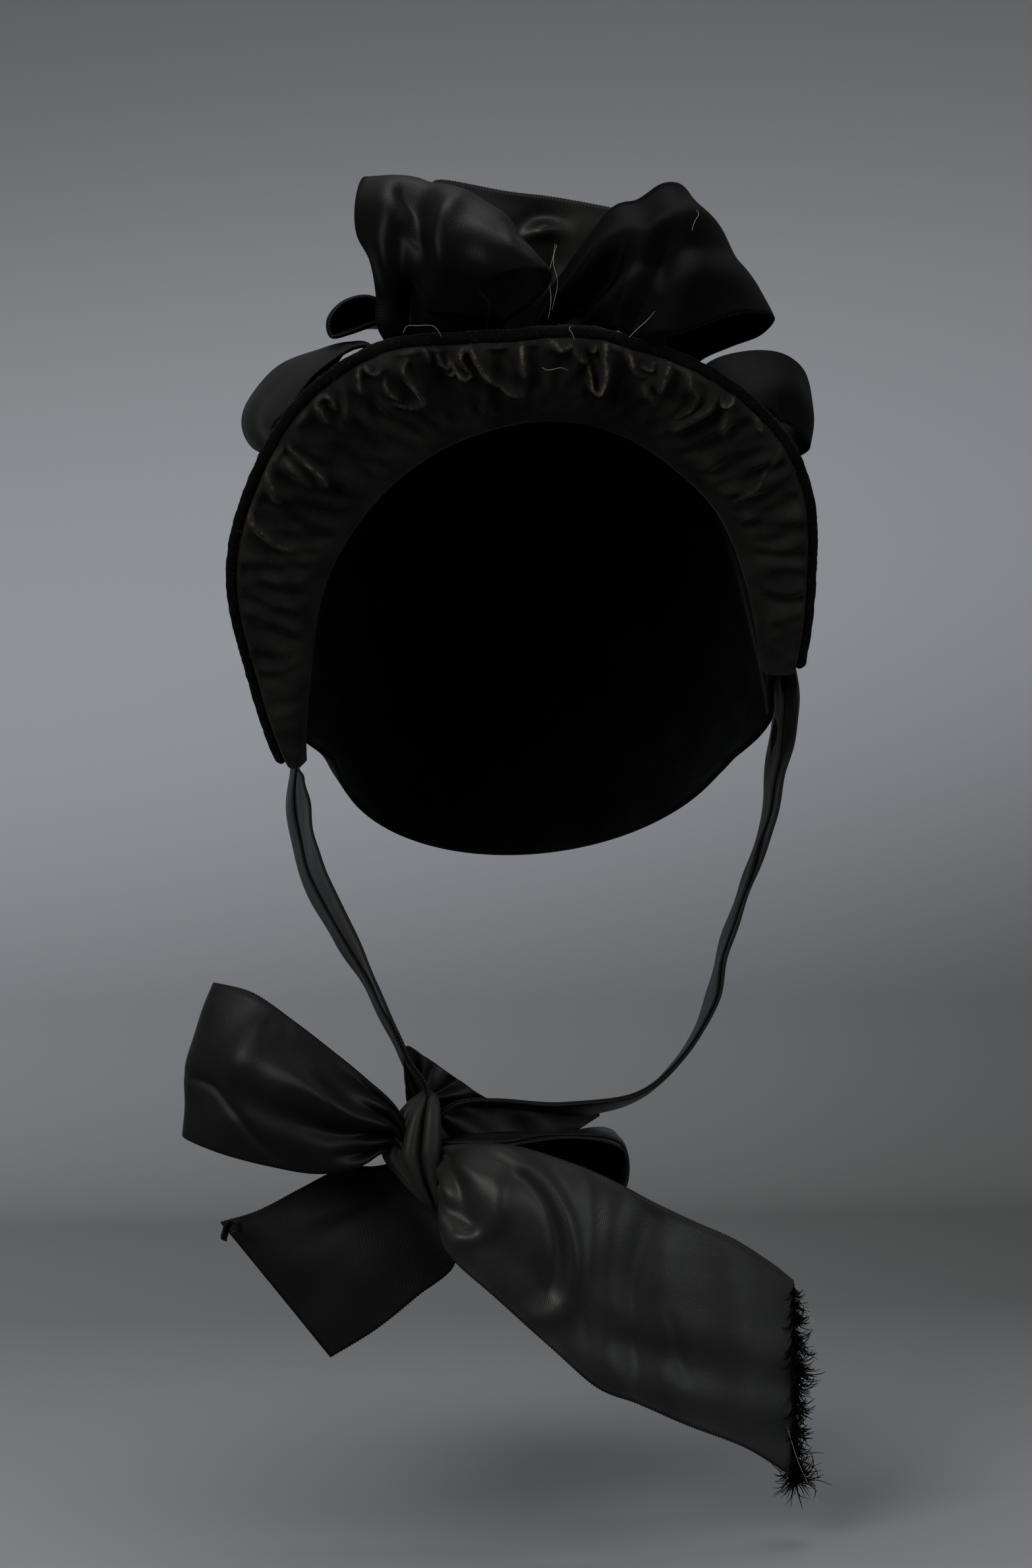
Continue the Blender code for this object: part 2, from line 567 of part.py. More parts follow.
def knot_shape(name, grow, collection, material):
    """The wrapped knot: a sphere's rings set to the knot's own, with upright pleats round it."""
    shape = bmesh.new()
    bmesh.ops.create_uvsphere(shape, u_segments=18, v_segments=11, radius=1.0)
    for vertex in shape.verts:
        share = 0.5 - atan2(vertex.co.z, hypot(vertex.co.x, vertex.co.y)) / pi
        turn = atan2(vertex.co.y, vertex.co.x)
        round_x = cos(turn) if abs(vertex.co.z) < 0.9999 else 0.0
        round_y = sin(turn) if abs(vertex.co.z) < 0.9999 else 0.0
        pleat = 1 + KNOT_PLEAT_SHARE * cos(2 * KNOT_PLEATS * turn)
        half_width = KNOT_WIDTH / 2 * through(column(KNOT_RINGS, "width"), share) + grow
        half_depth = KNOT_DEPTH / 2 * through(column(KNOT_RINGS, "depth"), share) * pleat + grow
        rise = KNOT_LENGTH * through(column(KNOT_RINGS, "rise"), share) + grow * vertex.co.z
        side = KNOT_WIDTH * through(column(KNOT_RINGS, "side"), share)
        vertex.co = KNOT + Vector((side + half_width * round_x, half_depth * round_y, rise))
    return add_object(name, shape, material, collection)


def cut_at_knot(item, cutter):
    """Ends a ribbon at the knot's surface with the seam's gap."""
    cut = item.modifiers.new("Knot", "BOOLEAN")
    cut.operation = "DIFFERENCE"
    cut.object = cutter


def build_top_loops(material):
    perch = brim_point(0.0, brim_width(0.0))
    sizes = Vector((TOP_LOOP_REACH, RIBBON_WIDTH, TOP_LOOP_RISE))
    keep = clear_of_bonnet
    ribbon("top_loop_left", TOP_LEFT_LOOP, TOP_LEFT_PLEATS, perch, sizes, 22, 7, keep, material)
    ribbon("top_loop_right", TOP_RIGHT_LOOP, TOP_RIGHT_PLEATS, perch, sizes, 20, 7, keep, material)
    ribbon("top_loop_back", TOP_BACK_BAND, (), perch, sizes, 8, 5, keep, material)
    ribbon("side_loop_left_upper", UPPER_LEFT_LOOP, (), perch, sizes, 14, 3, keep, material)


def build_side_loops(material):
    left = brim_point(LEFT_LOOP_ANGLE, brim_width(LEFT_LOOP_ANGLE))
    right = brim_point(RIGHT_LOOP_ANGLE, brim_width(RIGHT_LOOP_ANGLE))
    left_sizes = Vector((LEFT_LOOP_REACH, RIBBON_WIDTH, LEFT_LOOP_RISE))
    right_sizes = Vector((RIGHT_LOOP_REACH, RIBBON_WIDTH, RIGHT_LOOP_RISE))
    keep = clear_of_bonnet
    ribbon("side_loop_left", SIDE_LEFT_LOOP, (), left, left_sizes, 20, 5, keep, material)
    ribbon("side_loop_right", SIDE_RIGHT_LOOP, (), right, right_sizes, 16, 5, keep, material)


def build_ties(material, cutter):
    left = brim_point(BRIM_LEFT_ANGLE, 0.0)
    right = bow_point(RIGHT_TIE_ANGLE, 0.0, CROWN_WALL)
    left_tie = ribbon("tie_left", LEFT_TIE, (), left, KNOT - left, 16, 3, None, material)
    right_tie = ribbon("tie_right", RIGHT_TIE, (), right, KNOT - right, 24, 3, clear_of_seam, material)
    cut_at_knot(left_tie, cutter)
    cut_at_knot(right_tie, cutter)


def build_chin_bow(material, cutter):
    loop = Vector((CHIN_LOOP_REACH, RIBBON_WIDTH, CHIN_LOOP_RISE))
    short = Vector((SHORT_LOOP_REACH, RIBBON_WIDTH, CHIN_LOOP_RISE))
    left_end = Vector((LEFT_TAIL_REACH, RIBBON_WIDTH, LEFT_TAIL_DROP))
    right_end = Vector((RIGHT_TAIL_REACH, RIBBON_WIDTH, RIGHT_TAIL_DROP))
    pieces = (
        ribbon("chin_loop_left", CHIN_LEFT_LOOP, CHIN_LEFT_PLEATS, KNOT, loop, 22, 6, None, material),
        ribbon("chin_loop_right", CHIN_RIGHT_LOOP, (), KNOT, short, 18, 4, None, material),
        ribbon("tail_left", LEFT_TAIL, (), KNOT, left_end, 10, 5, None, material),
        ribbon("tail_right", RIGHT_TAIL, RIGHT_TAIL_PLEATS, KNOT, right_end, 17, 7, None, material),
    )
    for item in pieces:
        cut_at_knot(item, cutter)


def build_fringe(material):
    """The frayed end of the right tail: strips fused to a narrow head along its cut edge."""
    sizes = Vector((RIGHT_TAIL_REACH, RIBBON_WIDTH, RIGHT_TAIL_DROP))
    last = RIGHT_TAIL[-1]
    top = KNOT + Vector(last.near) * sizes
    bottom = KNOT + Vector(last.far) * sizes
    outward = (top - bottom).cross(Vector((0, -1, 0))).normalized()
    steps = 2 * FRINGE_STRIPS

    def surface(along, across):
        index = round(along * steps)
        uneven = FRINGE_SHORTEST + (1 - FRINGE_SHORTEST) * abs(sin(1.2 * index))
        strip = FRINGE_LENGTH * uneven if index % 2 else FRINGE_HEAD
        out = FRINGE_HEAD * min(2 * across, 1.0) + (strip - FRINGE_HEAD) * max(2 * across - 1, 0.0)
        return top.lerp(bottom, along) + outward * (SEAM_GAP + out)

    sheet("tail_fringe", surface, steps, 2, RIBBON_WALL, CENTRED, material)


def main():
    global parts, cutters
    clear_scene()
    parts = new_collection("bonnet")
    cutters = new_collection("cutters")
    build_crown(cloth_material("crown_velvet", (0.010, 0.010, 0.013), 0.85))
    build_brim(cloth_material("brim_velvet", (0.011, 0.011, 0.014), 0.85))
    build_facing(cloth_material("facing_velvet", (0.012, 0.011, 0.010), 0.80))
    build_binding(cloth_material("binding_velvet", (0.010, 0.010, 0.014), 0.85))
    build_top_loops(cloth_material("top_satin", (0.018, 0.018, 0.019), 0.45))
    build_side_loops(cloth_material("side_satin", (0.017, 0.018, 0.019), 0.48))
    knot = cloth_material("knot_satin", (0.020, 0.020, 0.021), 0.50)
    knot_shape("chin_knot", 0.0, parts, knot)
    cutter = knot_shape("knot_cutter", SEAM_GAP, cutters, knot)
    cutter.hide_render = True
    cutter.display_type = "WIRE"
    build_ties(cloth_material("tie_satin", (0.018, 0.018, 0.018), 0.50), cutter)
    build_chin_bow(cloth_material("bow_satin", (0.020, 0.020, 0.020), 0.42), cutter)
    build_fringe(cloth_material("frayed_satin", (0.015, 0.015, 0.015), 0.60))


main()
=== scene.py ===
from collections import namedtuple
from math import cos, pi, radians, sin

import bmesh
import bpy
import numpy as np
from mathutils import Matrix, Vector


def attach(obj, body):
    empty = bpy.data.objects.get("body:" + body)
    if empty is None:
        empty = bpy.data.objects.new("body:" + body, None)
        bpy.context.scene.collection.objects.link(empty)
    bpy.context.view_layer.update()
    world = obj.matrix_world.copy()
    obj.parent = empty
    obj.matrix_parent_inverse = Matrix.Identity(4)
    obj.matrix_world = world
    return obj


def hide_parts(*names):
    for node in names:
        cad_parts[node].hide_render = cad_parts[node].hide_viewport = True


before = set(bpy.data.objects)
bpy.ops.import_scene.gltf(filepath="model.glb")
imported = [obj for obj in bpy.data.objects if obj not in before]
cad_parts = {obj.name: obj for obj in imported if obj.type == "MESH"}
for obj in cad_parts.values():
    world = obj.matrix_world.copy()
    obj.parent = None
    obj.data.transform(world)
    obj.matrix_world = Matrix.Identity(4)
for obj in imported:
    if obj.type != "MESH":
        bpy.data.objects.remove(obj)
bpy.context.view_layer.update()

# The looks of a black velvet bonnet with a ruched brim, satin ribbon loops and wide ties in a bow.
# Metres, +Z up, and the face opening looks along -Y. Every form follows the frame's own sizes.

# Crown: bows that all turn about the ear line, like the bows of a pram hood
CROWN_HEIGHT = 0.120
CROWN_HALF_WIDTH = 0.073
CROWN_WALL = 0.002
FRONT_TILT = radians(-32)
NAPE_TILT = radians(112)
SHAPED_TILT = radians(30)
LEFT_SIDE_ANGLE = radians(-85)
RIGHT_SIDE_ANGLE = radians(84)
RIGHT_FRONT_ANGLE = radians(75)

# Brim, its ruched facing and its rolled binding
BRIM_WIDTH = 0.0305
BRIM_WALL = 0.002
BRIM_FLARE = radians(16)
BRIM_LEFT_ANGLE = radians(-91)
BRIM_RIGHT_ANGLE = radians(74)
FACING_WALL = 0.0012
FACING_PUFF = 0.0022
BINDING_RADIUS = 0.0018
RIGHT_TIE_ANGLE = radians(70)

# Ribbon
RIBBON_WIDTH = 0.052
RIBBON_WALL = 0.001
TOP_LOOP_REACH = 0.060
TOP_LOOP_RISE = 0.046
LEFT_LOOP_ANGLE = radians(-45)
LEFT_LOOP_REACH = 0.044
LEFT_LOOP_RISE = 0.034
RIGHT_LOOP_ANGLE = radians(37)
RIGHT_LOOP_REACH = 0.030
RIGHT_LOOP_RISE = 0.030

# Knot under the chin, its loops and its free ends
KNOT_SIDE = -0.043
KNOT_FORWARD = 0.083
KNOT_DROP = 0.231
KNOT_LENGTH = 0.033
KNOT_WIDTH = 0.018
KNOT_DEPTH = 0.016
CHIN_LOOP_REACH = 0.062
CHIN_LOOP_RISE = 0.046
SHORT_LOOP_REACH = 0.060
LEFT_TAIL_REACH = 0.054
LEFT_TAIL_DROP = 0.052
RIGHT_TAIL_REACH = 0.108
RIGHT_TAIL_DROP = 0.088

# Clearance that every piece keeps to the piece it is sewn to, and what the ribbons add at the
# brim's rim: a margin that grows over the last share of its width, then leans over it
SEAM_GAP = 0.0003
RIM_CLEARANCE = 0.0026
RIM_SHARE = 0.7
RIM_SLOPE = 1.6

# Bows at equal steps of tilt from the front edge to the nape, as shares of the crown's sizes
Bow = namedtuple("Bow", "half_width height")
BOWS = (
    Bow(1.00, 0.950),
    Bow(1.01, 0.995),
    Bow(1.015, 0.995),
    Bow(1.01, 0.955),
    Bow(0.97, 0.885),
    Bow(0.90, 0.820),
    Bow(0.82, 0.745),
)

# The front edge at equal steps of angle from its left end to its right end: how far the bow
# stands off its oval, and the brim's width as a share of BRIM_WIDTH
Edge = namedtuple("Edge", "stand_off width")
FRONT_EDGE = (
    Edge(1.00, 0.22),
    Edge(1.02, 0.56),
    Edge(1.07, 0.92),
    Edge(1.065, 1.13),
    Edge(1.04, 1.25),
    Edge(1.015, 1.12),
    Edge(1.005, 1.00),
    Edge(1.00, 1.00),
    Edge(1.00, 1.00),
    Edge(1.015, 0.88),
    Edge(1.00, 0.60),
    Edge(0.985, 0.36),
)

# A ribbon's section: its two selvedges as shares of three sizes (sideways, back and up), then
# how far it puffs out between them and how much of the ribbon's pleats it shows, if it does
Section = namedtuple("Section", "near far puff pleat", defaults=(0.0, 0.0))
Pleat = namedtuple("Pleat", "at spread height")

TOP_LEFT_LOOP = (
    Section((-0.63, 0.56, -0.50), (-0.33, 0.56, -0.50)),
    Section((-0.77, 0.31, -0.18), (-0.38, 0.27, -0.18), 0.02, 0.4),
    Section((-0.88, 0.15, 0.00), (-0.38, 0.08, -0.01), 0.05, 0.8),
    Section((-0.89, 0.10, 0.20), (-0.38, -0.08, 0.11), 0.08, 1.0),
    Section((-0.92, 0.06, 0.39), (-0.44, -0.19, 0.20), 0.10, 1.0),
    Section((-0.98, 0.10, 0.56), (-0.28, -0.29, 0.28), 0.12, 1.0),
    Section((-0.98, 0.17, 0.78), (-0.12, -0.29, 0.28), 0.18, 1.0),
    Section((-0.93, 0.38, 0.96), (-0.12, -0.13, 0.20), 0.26, 0.8),
    Section((-0.83, 0.56, 0.88), (-0.19, 0.04, 0.11), 0.22, 0.5),
    Section((-0.73, 0.65, 0.56), (-0.27, 0.19, 0.06), 0.12, 0.2),
    Section((-0.62, 0.65, 0.17), (-0.30, 0.38, -0.05), 0.04),
    Section((-0.50, 0.64, -0.40), (-0.27, 0.56, -0.44)),
)
TOP_LEFT_PLEATS = (Pleat(0.30, 0.09, -0.11), Pleat(0.62, 0.14, 0.05))

TOP_RIGHT_LOOP = (
    Section((-0.12, 0.58, -0.27), (0.00, 0.50, -0.36)),
    Section((-0.10, 0.54, 0.17), (0.03, 0.23, -0.14), 0.04, 0.5),
    Section((0.05, 0.48, 0.47), (0.20, 0.06, -0.07), 0.06, 0.9),
    Section((0.24, 0.40, 0.80), (0.38, -0.08, -0.07), 0.08, 1.0),
    Section((0.37, 0.37, 0.86), (0.52, -0.13, -0.05), 0.08, 1.0),
    Section((0.49, 0.38, 0.96), (0.66, -0.13, 0.03), 0.06, 0.9),
    Section((0.60, 0.46, 0.97), (0.82, -0.08, 0.09), 0.04, 0.6),
    Section((0.68, 0.58, 0.86), (0.98, 0.13, 0.10), 0.03, 0.3),
    Section((0.65, 0.69, 0.67), (0.95, 0.33, 0.03), 0.05, 0.1),
    Section((0.52, 0.73, 0.43), (0.82, 0.42, -0.03), 0.05),
    Section((0.35, 0.73, 0.12), (0.67, 0.48, -0.12), 0.03),
    Section((0.22, 0.69, -0.18), (0.47, 0.62, -0.36)),
)
TOP_RIGHT_PLEATS = (Pleat(0.30, 0.10, 0.06), Pleat(0.52, 0.09, -0.07), Pleat(0.74, 0.10, 0.05))

TOP_BACK_BAND = (
    Section((-0.45, 0.81, -0.14), (-0.60, 0.67, 0.95)),
    Section((-0.40, 0.90, -0.14), (-0.55, 0.75, 1.05), 0.04),
    Section((-0.20, 0.94, -0.14), (-0.21, 0.81, 1.00), 0.06),
    Section((0.03, 0.94, -0.14), (0.02, 0.81, 0.97), 0.05),
    Section((0.32, 0.94, -0.14), (0.37, 0.79, 0.89), 0.02),
)

UPPER_LEFT_LOOP = (
    Section((-0.67, 0.62, -0.57), (-0.67, 0.85, -0.60)),
    Section((-0.70, 0.58, -0.18), (-0.70, 0.81, -0.18)),
    Section((-0.78, 0.46, 0.14), (-0.77, 0.77, 0.17)),
    Section((-0.90, 0.38, 0.23), (-0.87, 0.77, 0.27)),
    Section((-1.02, 0.33, 0.19), (-0.98, 0.77, 0.25)),
    Section((-1.10, 0.31, 0.08), (-1.07, 0.77, 0.17)),
    Section((-1.09, 0.31, -0.03), (-1.07, 0.77, 0.10)),
    Section((-1.00, 0.31, -0.01), (-0.97, 0.73, 0.11)),
    Section((-0.88, 0.35, 0.06), (-0.85, 0.73, 0.11)),
)

SIDE_LEFT_LOOP = (
    Section((0.84, 0.04, -0.03), (0.84, 0.50, -0.09)),
    Section((0.77, -0.15, 0.50), (0.82, 0.35, 0.62)),
    Section((0.66, -0.31, 0.81), (0.68, 0.23, 0.96)),
    Section((0.55, -0.33, 0.82), (0.52, 0.29, 1.00), 0.02),
    Section((0.39, -0.29, 0.67), (0.32, 0.37, 0.96), 0.03),
    Section((0.21, -0.23, 0.45), (0.07, 0.42, 0.82), 0.03),
    Section((0.06, -0.15, 0.28), (-0.11, 0.46, 0.57), 0.02),
    Section((0.03, -0.10, 0.20), (-0.16, 0.48, 0.35)),
    Section((0.09, -0.06, 0.15), (-0.09, 0.48, 0.15)),
    Section((0.18, -0.02, 0.32), (0.09, 0.46, 0.06)),
    Section((0.36, 0.04, 0.26), (0.32, 0.46, -0.09)),
    Section((0.59, 0.19, -0.09), (0.55, 0.54, -0.32)),
)

SIDE_RIGHT_LOOP = (
    Section((-0.93, 0.61, 0.00), (-0.73, 0.18, -0.07)),
    Section((-0.87, 0.49, 0.53), (-0.73, -0.01, 0.20)),
    Section((-0.67, 0.38, 0.80), (-0.53, -0.09, 0.23), 0.02),
    Section((-0.30, 0.38, 0.92), (-0.20, -0.07, 0.18), 0.04),
    Section((0.03, 0.41, 0.93), (0.02, -0.01, 0.15), 0.05),
    Section((0.25, 0.45, 0.83), (0.18, 0.05, 0.03), 0.04),
    Section((0.35, 0.49, 0.67), (0.25, 0.14, -0.05), 0.02),
    Section((0.27, 0.57, 0.47), (0.17, 0.26, -0.10)),
    Section((0.00, 0.61, 0.33), (-0.07, 0.30, -0.13)),
    Section((-0.40, 0.68, -0.20), (-0.40, 0.38, -0.33)),
)

# The ties' sections are shares of the way from the brim's end to the knot
LEFT_TIE = (
    Section((-0.03, -0.16, 0.03), (-0.01, 0.17, 0.03)),
    Section((-0.08, -0.10, 0.14), (0.04, 0.32, 0.06)),
    Section((-0.01, 0.04, 0.26), (0.07, 0.47, 0.12)),
    Section((0.13, 0.21, 0.38), (0.12, 0.64, 0.23)),
    Section((0.38, 0.39, 0.50), (0.27, 0.80, 0.34)),
    Section((0.65, 0.53, 0.62), (0.50, 0.92, 0.48)),
    Section((0.85, 0.68, 0.74), (0.69, 1.00, 0.61)),
    Section((1.03, 0.82, 0.83), (0.92, 1.04, 0.75)),
    Section((1.13, 0.92, 0.89), (1.10, 1.04, 0.84)),
    Section((1.10, 0.95, 0.98), (1.07, 1.01, 0.96)),
)
RIGHT_TIE = (
    Section((-0.04, -0.22, 0.09), (-0.03, 0.11, -0.02)),
    Section((-0.06, -0.20, 0.19), (-0.06, 0.12, 0.07)),
    Section((-0.03, -0.10, 0.28), (-0.06, 0.25, 0.17)),
    Section((0.00, 0.05, 0.37), (-0.02, 0.41, 0.26)),
    Section((0.04, 0.18, 0.46), (0.03, 0.54, 0.35)),
    Section((0.10, 0.31, 0.54), (0.08, 0.66, 0.45)),
    Section((0.16, 0.43, 0.63), (0.15, 0.77, 0.55)),
    Section((0.21, 0.55, 0.72), (0.21, 0.87, 0.65)),
    Section((0.26, 0.65, 0.80), (0.25, 0.94, 0.74)),
    Section((0.34, 0.70, 0.88), (0.32, 0.95, 0.83)),
    Section((0.46, 0.67, 0.95), (0.44, 0.92, 0.91)),
    Section((0.65, 0.65, 0.96), (0.62, 0.88, 0.93)),
    Section((0.80, 0.70, 0.95), (0.79, 0.92, 0.92)),
    Section((0.89, 0.84, 0.94), (0.89, 0.96, 0.92)),
    Section((0.97, 0.96, 0.96), (0.97, 1.01, 0.95)),
)

# The knot's rings from top to bottom, as shares of its length, width and depth
Ring = namedtuple("Ring", "rise side width depth")
KNOT_RINGS = (
    Ring(0.50, 0.20, 0.10, 0.12),
    Ring(0.42, 0.16, 0.44, 0.52),
    Ring(0.30, 0.08, 0.68, 0.84),
    Ring(0.10, 0.00, 0.88, 1.00),
    Ring(-0.06, -0.03, 0.94, 1.00),
    Ring(-0.25, 0.08, 0.64, 0.78),
    Ring(-0.42, 0.22, 0.34, 0.48),
    Ring(-0.50, 0.28, 0.10, 0.14),
)

CHIN_LEFT_LOOP = (
    Section((-0.02, -0.06, -0.09), (-0.02, -0.08, 0.11)),
    Section((-0.14, -0.07, -0.01), (-0.09, -0.09, 0.27), 0.03, 0.5),
    Section((-0.27, -0.17, -0.08), (-0.23, -0.15, 0.45), 0.08, 1.0),
    Section((-0.45, -0.23, -0.10), (-0.37, -0.19, 0.61), 0.12, 1.0),
    Section((-0.66, -0.23, -0.05), (-0.53, -0.17, 0.78), 0.12, 0.6),
    Section((-0.85, -0.15, 0.01), (-0.71, -0.12, 0.95), 0.08, 0.3),
    Section((-1.01, 0.02, 0.08), (-0.87, 0.04, 1.00), 0.06),
    Section((-0.98, 0.12, 0.10), (-0.87, 0.13, 0.98), 0.05),
    Section((-0.79, 0.12, 0.07), (-0.71, 0.13, 0.90), 0.02),
    Section((-0.53, 0.08, 0.00), (-0.48, 0.10, 0.70), 0.03),
    Section((-0.27, 0.06, -0.02), (-0.24, 0.06, 0.43), 0.02),
    Section((-0.11, 0.04, 0.00), (-0.08, 0.03, 0.24)),
    Section((-0.02, 0.04, -0.07), (-0.02, 0.04, 0.11)),
)
CHIN_LEFT_PLEATS = (Pleat(0.36, 0.10, -0.05), Pleat(0.62, 0.12, 0.05))

CHIN_RIGHT_LOOP = (
    Section((0.05, -0.02, 0.02), (0.07, 0.06, 0.01)),
    Section((0.20, -0.10, 0.03), (0.22, 0.13, 0.03)),
    Section((0.40, -0.15, 0.04), (0.40, 0.33, 0.03)),
    Section((0.70, -0.12, 0.07), (0.72, 0.48, 0.00)),
    Section((0.93, -0.04, 0.01), (0.95, 0.56, 0.02)),
    Section((1.00, 0.04, -0.11), (1.02, 0.60, -0.07)),
    Section((0.97, 0.10, -0.30), (0.98, 0.60, -0.20)),
    Section((0.78, 0.12, -0.39), (0.82, 0.56, -0.26)),
    Section((0.48, 0.12, -0.33), (0.50, 0.44, -0.22)),
    Section((0.22, 0.10, -0.20), (0.23, 0.25, -0.13)),
    Section((0.05, 0.06, -0.11), (0.05, 0.10, -0.05)),
)

LEFT_TAIL = (
    Section((0.07, 0.04, -0.17), (-0.02, 0.08, -0.06)),
    Section((0.18, 0.10, -0.40), (-0.19, 0.17, -0.11)),
    Section((0.21, 0.08, -0.63), (-0.35, 0.21, -0.12), 0.02),
    Section((0.01, -0.02, -0.78), (-0.57, 0.17, -0.22), 0.02),
    Section((-0.20, -0.02, -0.95), (-0.80, 0.10, -0.33), 0.01),
    Section((-0.43, 0.02, -1.10), (-0.99, 0.06, -0.38)),
)

RIGHT_TAIL = (
    Section((0.04, -0.05, 0.00), (0.04, -0.01, -0.09)),
    Section((0.09, -0.13, 0.02), (0.06, -0.12, -0.16), 0.05, 0.5),
    Section((0.16, -0.23, 0.03), (0.06, -0.25, -0.25), 0.12, 1.0),
    Section((0.26, -0.27, 0.02), (0.09, -0.35, -0.32), 0.12, 1.0),
    Section((0.37, -0.29, -0.02), (0.19, -0.38, -0.43), 0.06, 0.6),
    Section((0.47, -0.29, -0.07), (0.34, -0.37, -0.60), 0.04, 0.8),
    Section((0.59, -0.25, -0.15), (0.45, -0.33, -0.72), 0.03, 0.8),
    Section((0.70, -0.17, -0.22), (0.56, -0.29, -0.78), 0.02, 0.5),
    Section((0.82, -0.10, -0.29), (0.69, -0.21, -0.86), 0.01, 0.2),
    Section((0.93, -0.02, -0.38), (0.85, -0.10, -0.95)),
    Section((0.99, 0.06, -0.44), (0.99, 0.06, -1.07)),
)
RIGHT_TAIL_PLEATS = (Pleat(0.72, 0.10, -0.10), Pleat(0.35, 0.14, 0.04))

EAR_LINE = np.array((0.0, 0.0, -CROWN_HEIGHT))
KNOT = np.array((KNOT_SIDE, -KNOT_FORWARD, -KNOT_DROP))

# Ribbon in the looks: its wall, thinner than the frame's so that its edges look like cloth, the
# spacing and size of its woven edge's cords, the gap inside a lengthwise fold, the distance that
# stands for no woven edge, its mesh's step, and the pitch of its ribs and its twill
CLOTH = 0.0007
SELVEDGE_PITCH = 0.0009
CORD_SIZES = (0.00029, 0.00048, 0.00038)
CORD_INSET = 0.0002
FOLD_GAP = 0.0008
UNTRIMMED = 0.01
GRAIN = 0.0010
RIB_PITCH = 0.00055
TWILL_PITCH = 0.0011

# How much of their pleats' depth these ribbons keep away from their ends, and how far along the
# ribbon the full depth reaches, as shares
EASED = {"top_loop_left": 0.5, "top_loop_right": 0.45, "tail_right": 0.2}
PLEAT_REACH = 0.20

# The length of each ribbon laid flat, which is the mean length of its drawn run
RIBBON_LENGTHS = {
    "top_loop_left": 0.151, "top_loop_right": 0.146, "top_loop_back": 0.055,
    "side_loop_left_upper": 0.074, "side_loop_left": 0.122, "side_loop_right": 0.091,
    "tie_left": 0.143, "tie_right": 0.243, "chin_loop_left": 0.146, "chin_loop_right": 0.133,
    "tail_left": 0.059, "tail_right": 0.138,
}

# The ribbons that are folded lengthwise: whether the fold is at the far edge, and how far the part
# behind peeks out past the other edge, as a share of the front part's breadth
TUCKS = {
    "side_loop_left_upper": (True, 0.12), "side_loop_left": (True, 0.0), "side_loop_right": (False, 0.0),
    "tie_left": (False, -0.10), "tie_right": (False, -0.10), "chin_loop_right": (True, -0.08),
}

# The small pleats that take up a ribbon's width where it is pinched: their depth as a share of
# their own width, their number, and the shares of the full width where they start and are deepest
PINCHED = {"chin_loop_left": 0.32}
PINCH_PLEATS = 4
PINCH_STARTS = 0.72
PINCH_DEEPEST = 0.36

# How far the velvet runs in under the binding
INTO_BINDING = 0.0016

# How far the velvet reaches beyond the frame's brim, at angles from its top in degrees
Edging = namedtuple("Edging", "angle extra")
EDGINGS = (
    Edging(-91, 0.0), Edging(-75, 0.0005), Edging(-60, 0.0013), Edging(-51, 0.0021),
    Edging(-44, 0.0033), Edging(-38, 0.0043), Edging(-31, 0.0045), Edging(-23, 0.0051),
    Edging(-19, 0.0031), Edging(-15, 0.0006), Edging(-8, -0.0009), Edging(-3, 0.0006),
    Edging(2, 0.0015), Edging(5, 0.0014), Edging(9, 0.0002), Edging(18, 0.0009),
    Edging(29, 0.0013), Edging(37, 0.0012), Edging(43, 0.0002), Edging(74, 0.0),
)

# A fold in a ribbon: a ridge, or with a negative height a valley, through places given as shares
# along and across it, with its half width at both ends and its height
Fold = namedtuple("Fold", "route spread height")

TOP_LEFT_FOLDS = (
    Fold(((0.572, 0.221), (0.554, 0.312), (0.467, 0.418), (0.378, 0.487), (0.226, 0.286)),
         (0.0034, 0.0044), -0.0046),
    Fold(((0.527, 0.455), (0.488, 0.477), (0.397, 0.572), (0.243, 0.422)), (0.0035, 0.0030), 0.0013),
    Fold(((0.561, 0.157), (0.478, 0.213), (0.351, 0.197), (0.215, 0.137)), (0.0040, 0.0040), 0.0010),
    Fold(((0.521, 0.596), (0.459, 0.722), (0.377, 0.833), (0.277, 0.720)), (0.0045, 0.0035), -0.0009),
    Fold(((0.524, 0.813), (0.452, 0.862), (0.383, 0.909)), (0.0040, 0.0040), 0.0008),
    Fold(((0.575, 0.455), (0.571, 0.563), (0.572, 0.660), (0.585, 0.734)), (0.0100, 0.0070), -0.0046),
    Fold(((0.638, 0.248), (0.620, 0.315), (0.570, 0.396)), (0.0045, 0.0050), 0.0016),
)
TOP_RIGHT_FOLDS = (
    Fold(((0.109, 0.448), (0.153, 0.407), (0.200, 0.366), (0.240, 0.259), (0.272, 0.160)),
         (0.0025, 0.0050), 0.0018),
    Fold(((0.145, 0.782), (0.185, 0.507), (0.231, 0.452), (0.295, 0.350)), (0.0035, 0.0045), -0.0026),
    Fold(((0.194, 0.944), (0.248, 0.790), (0.287, 0.588), (0.332, 0.420), (0.390, 0.322)),
         (0.0030, 0.0050), 0.0024),
    Fold(((0.247, 0.874), (0.306, 0.712), (0.394, 0.413), (0.431, 0.337)), (0.0040, 0.0045), -0.0018),
    Fold(((0.463, 0.142), (0.461, 0.406), (0.435, 0.668), (0.379, 0.871)), (0.0060, 0.0060), 0.0013),
    Fold(((0.546, 0.420), (0.496, 0.761), (0.467, 0.943)), (0.0060, 0.0060), -0.0008),
)
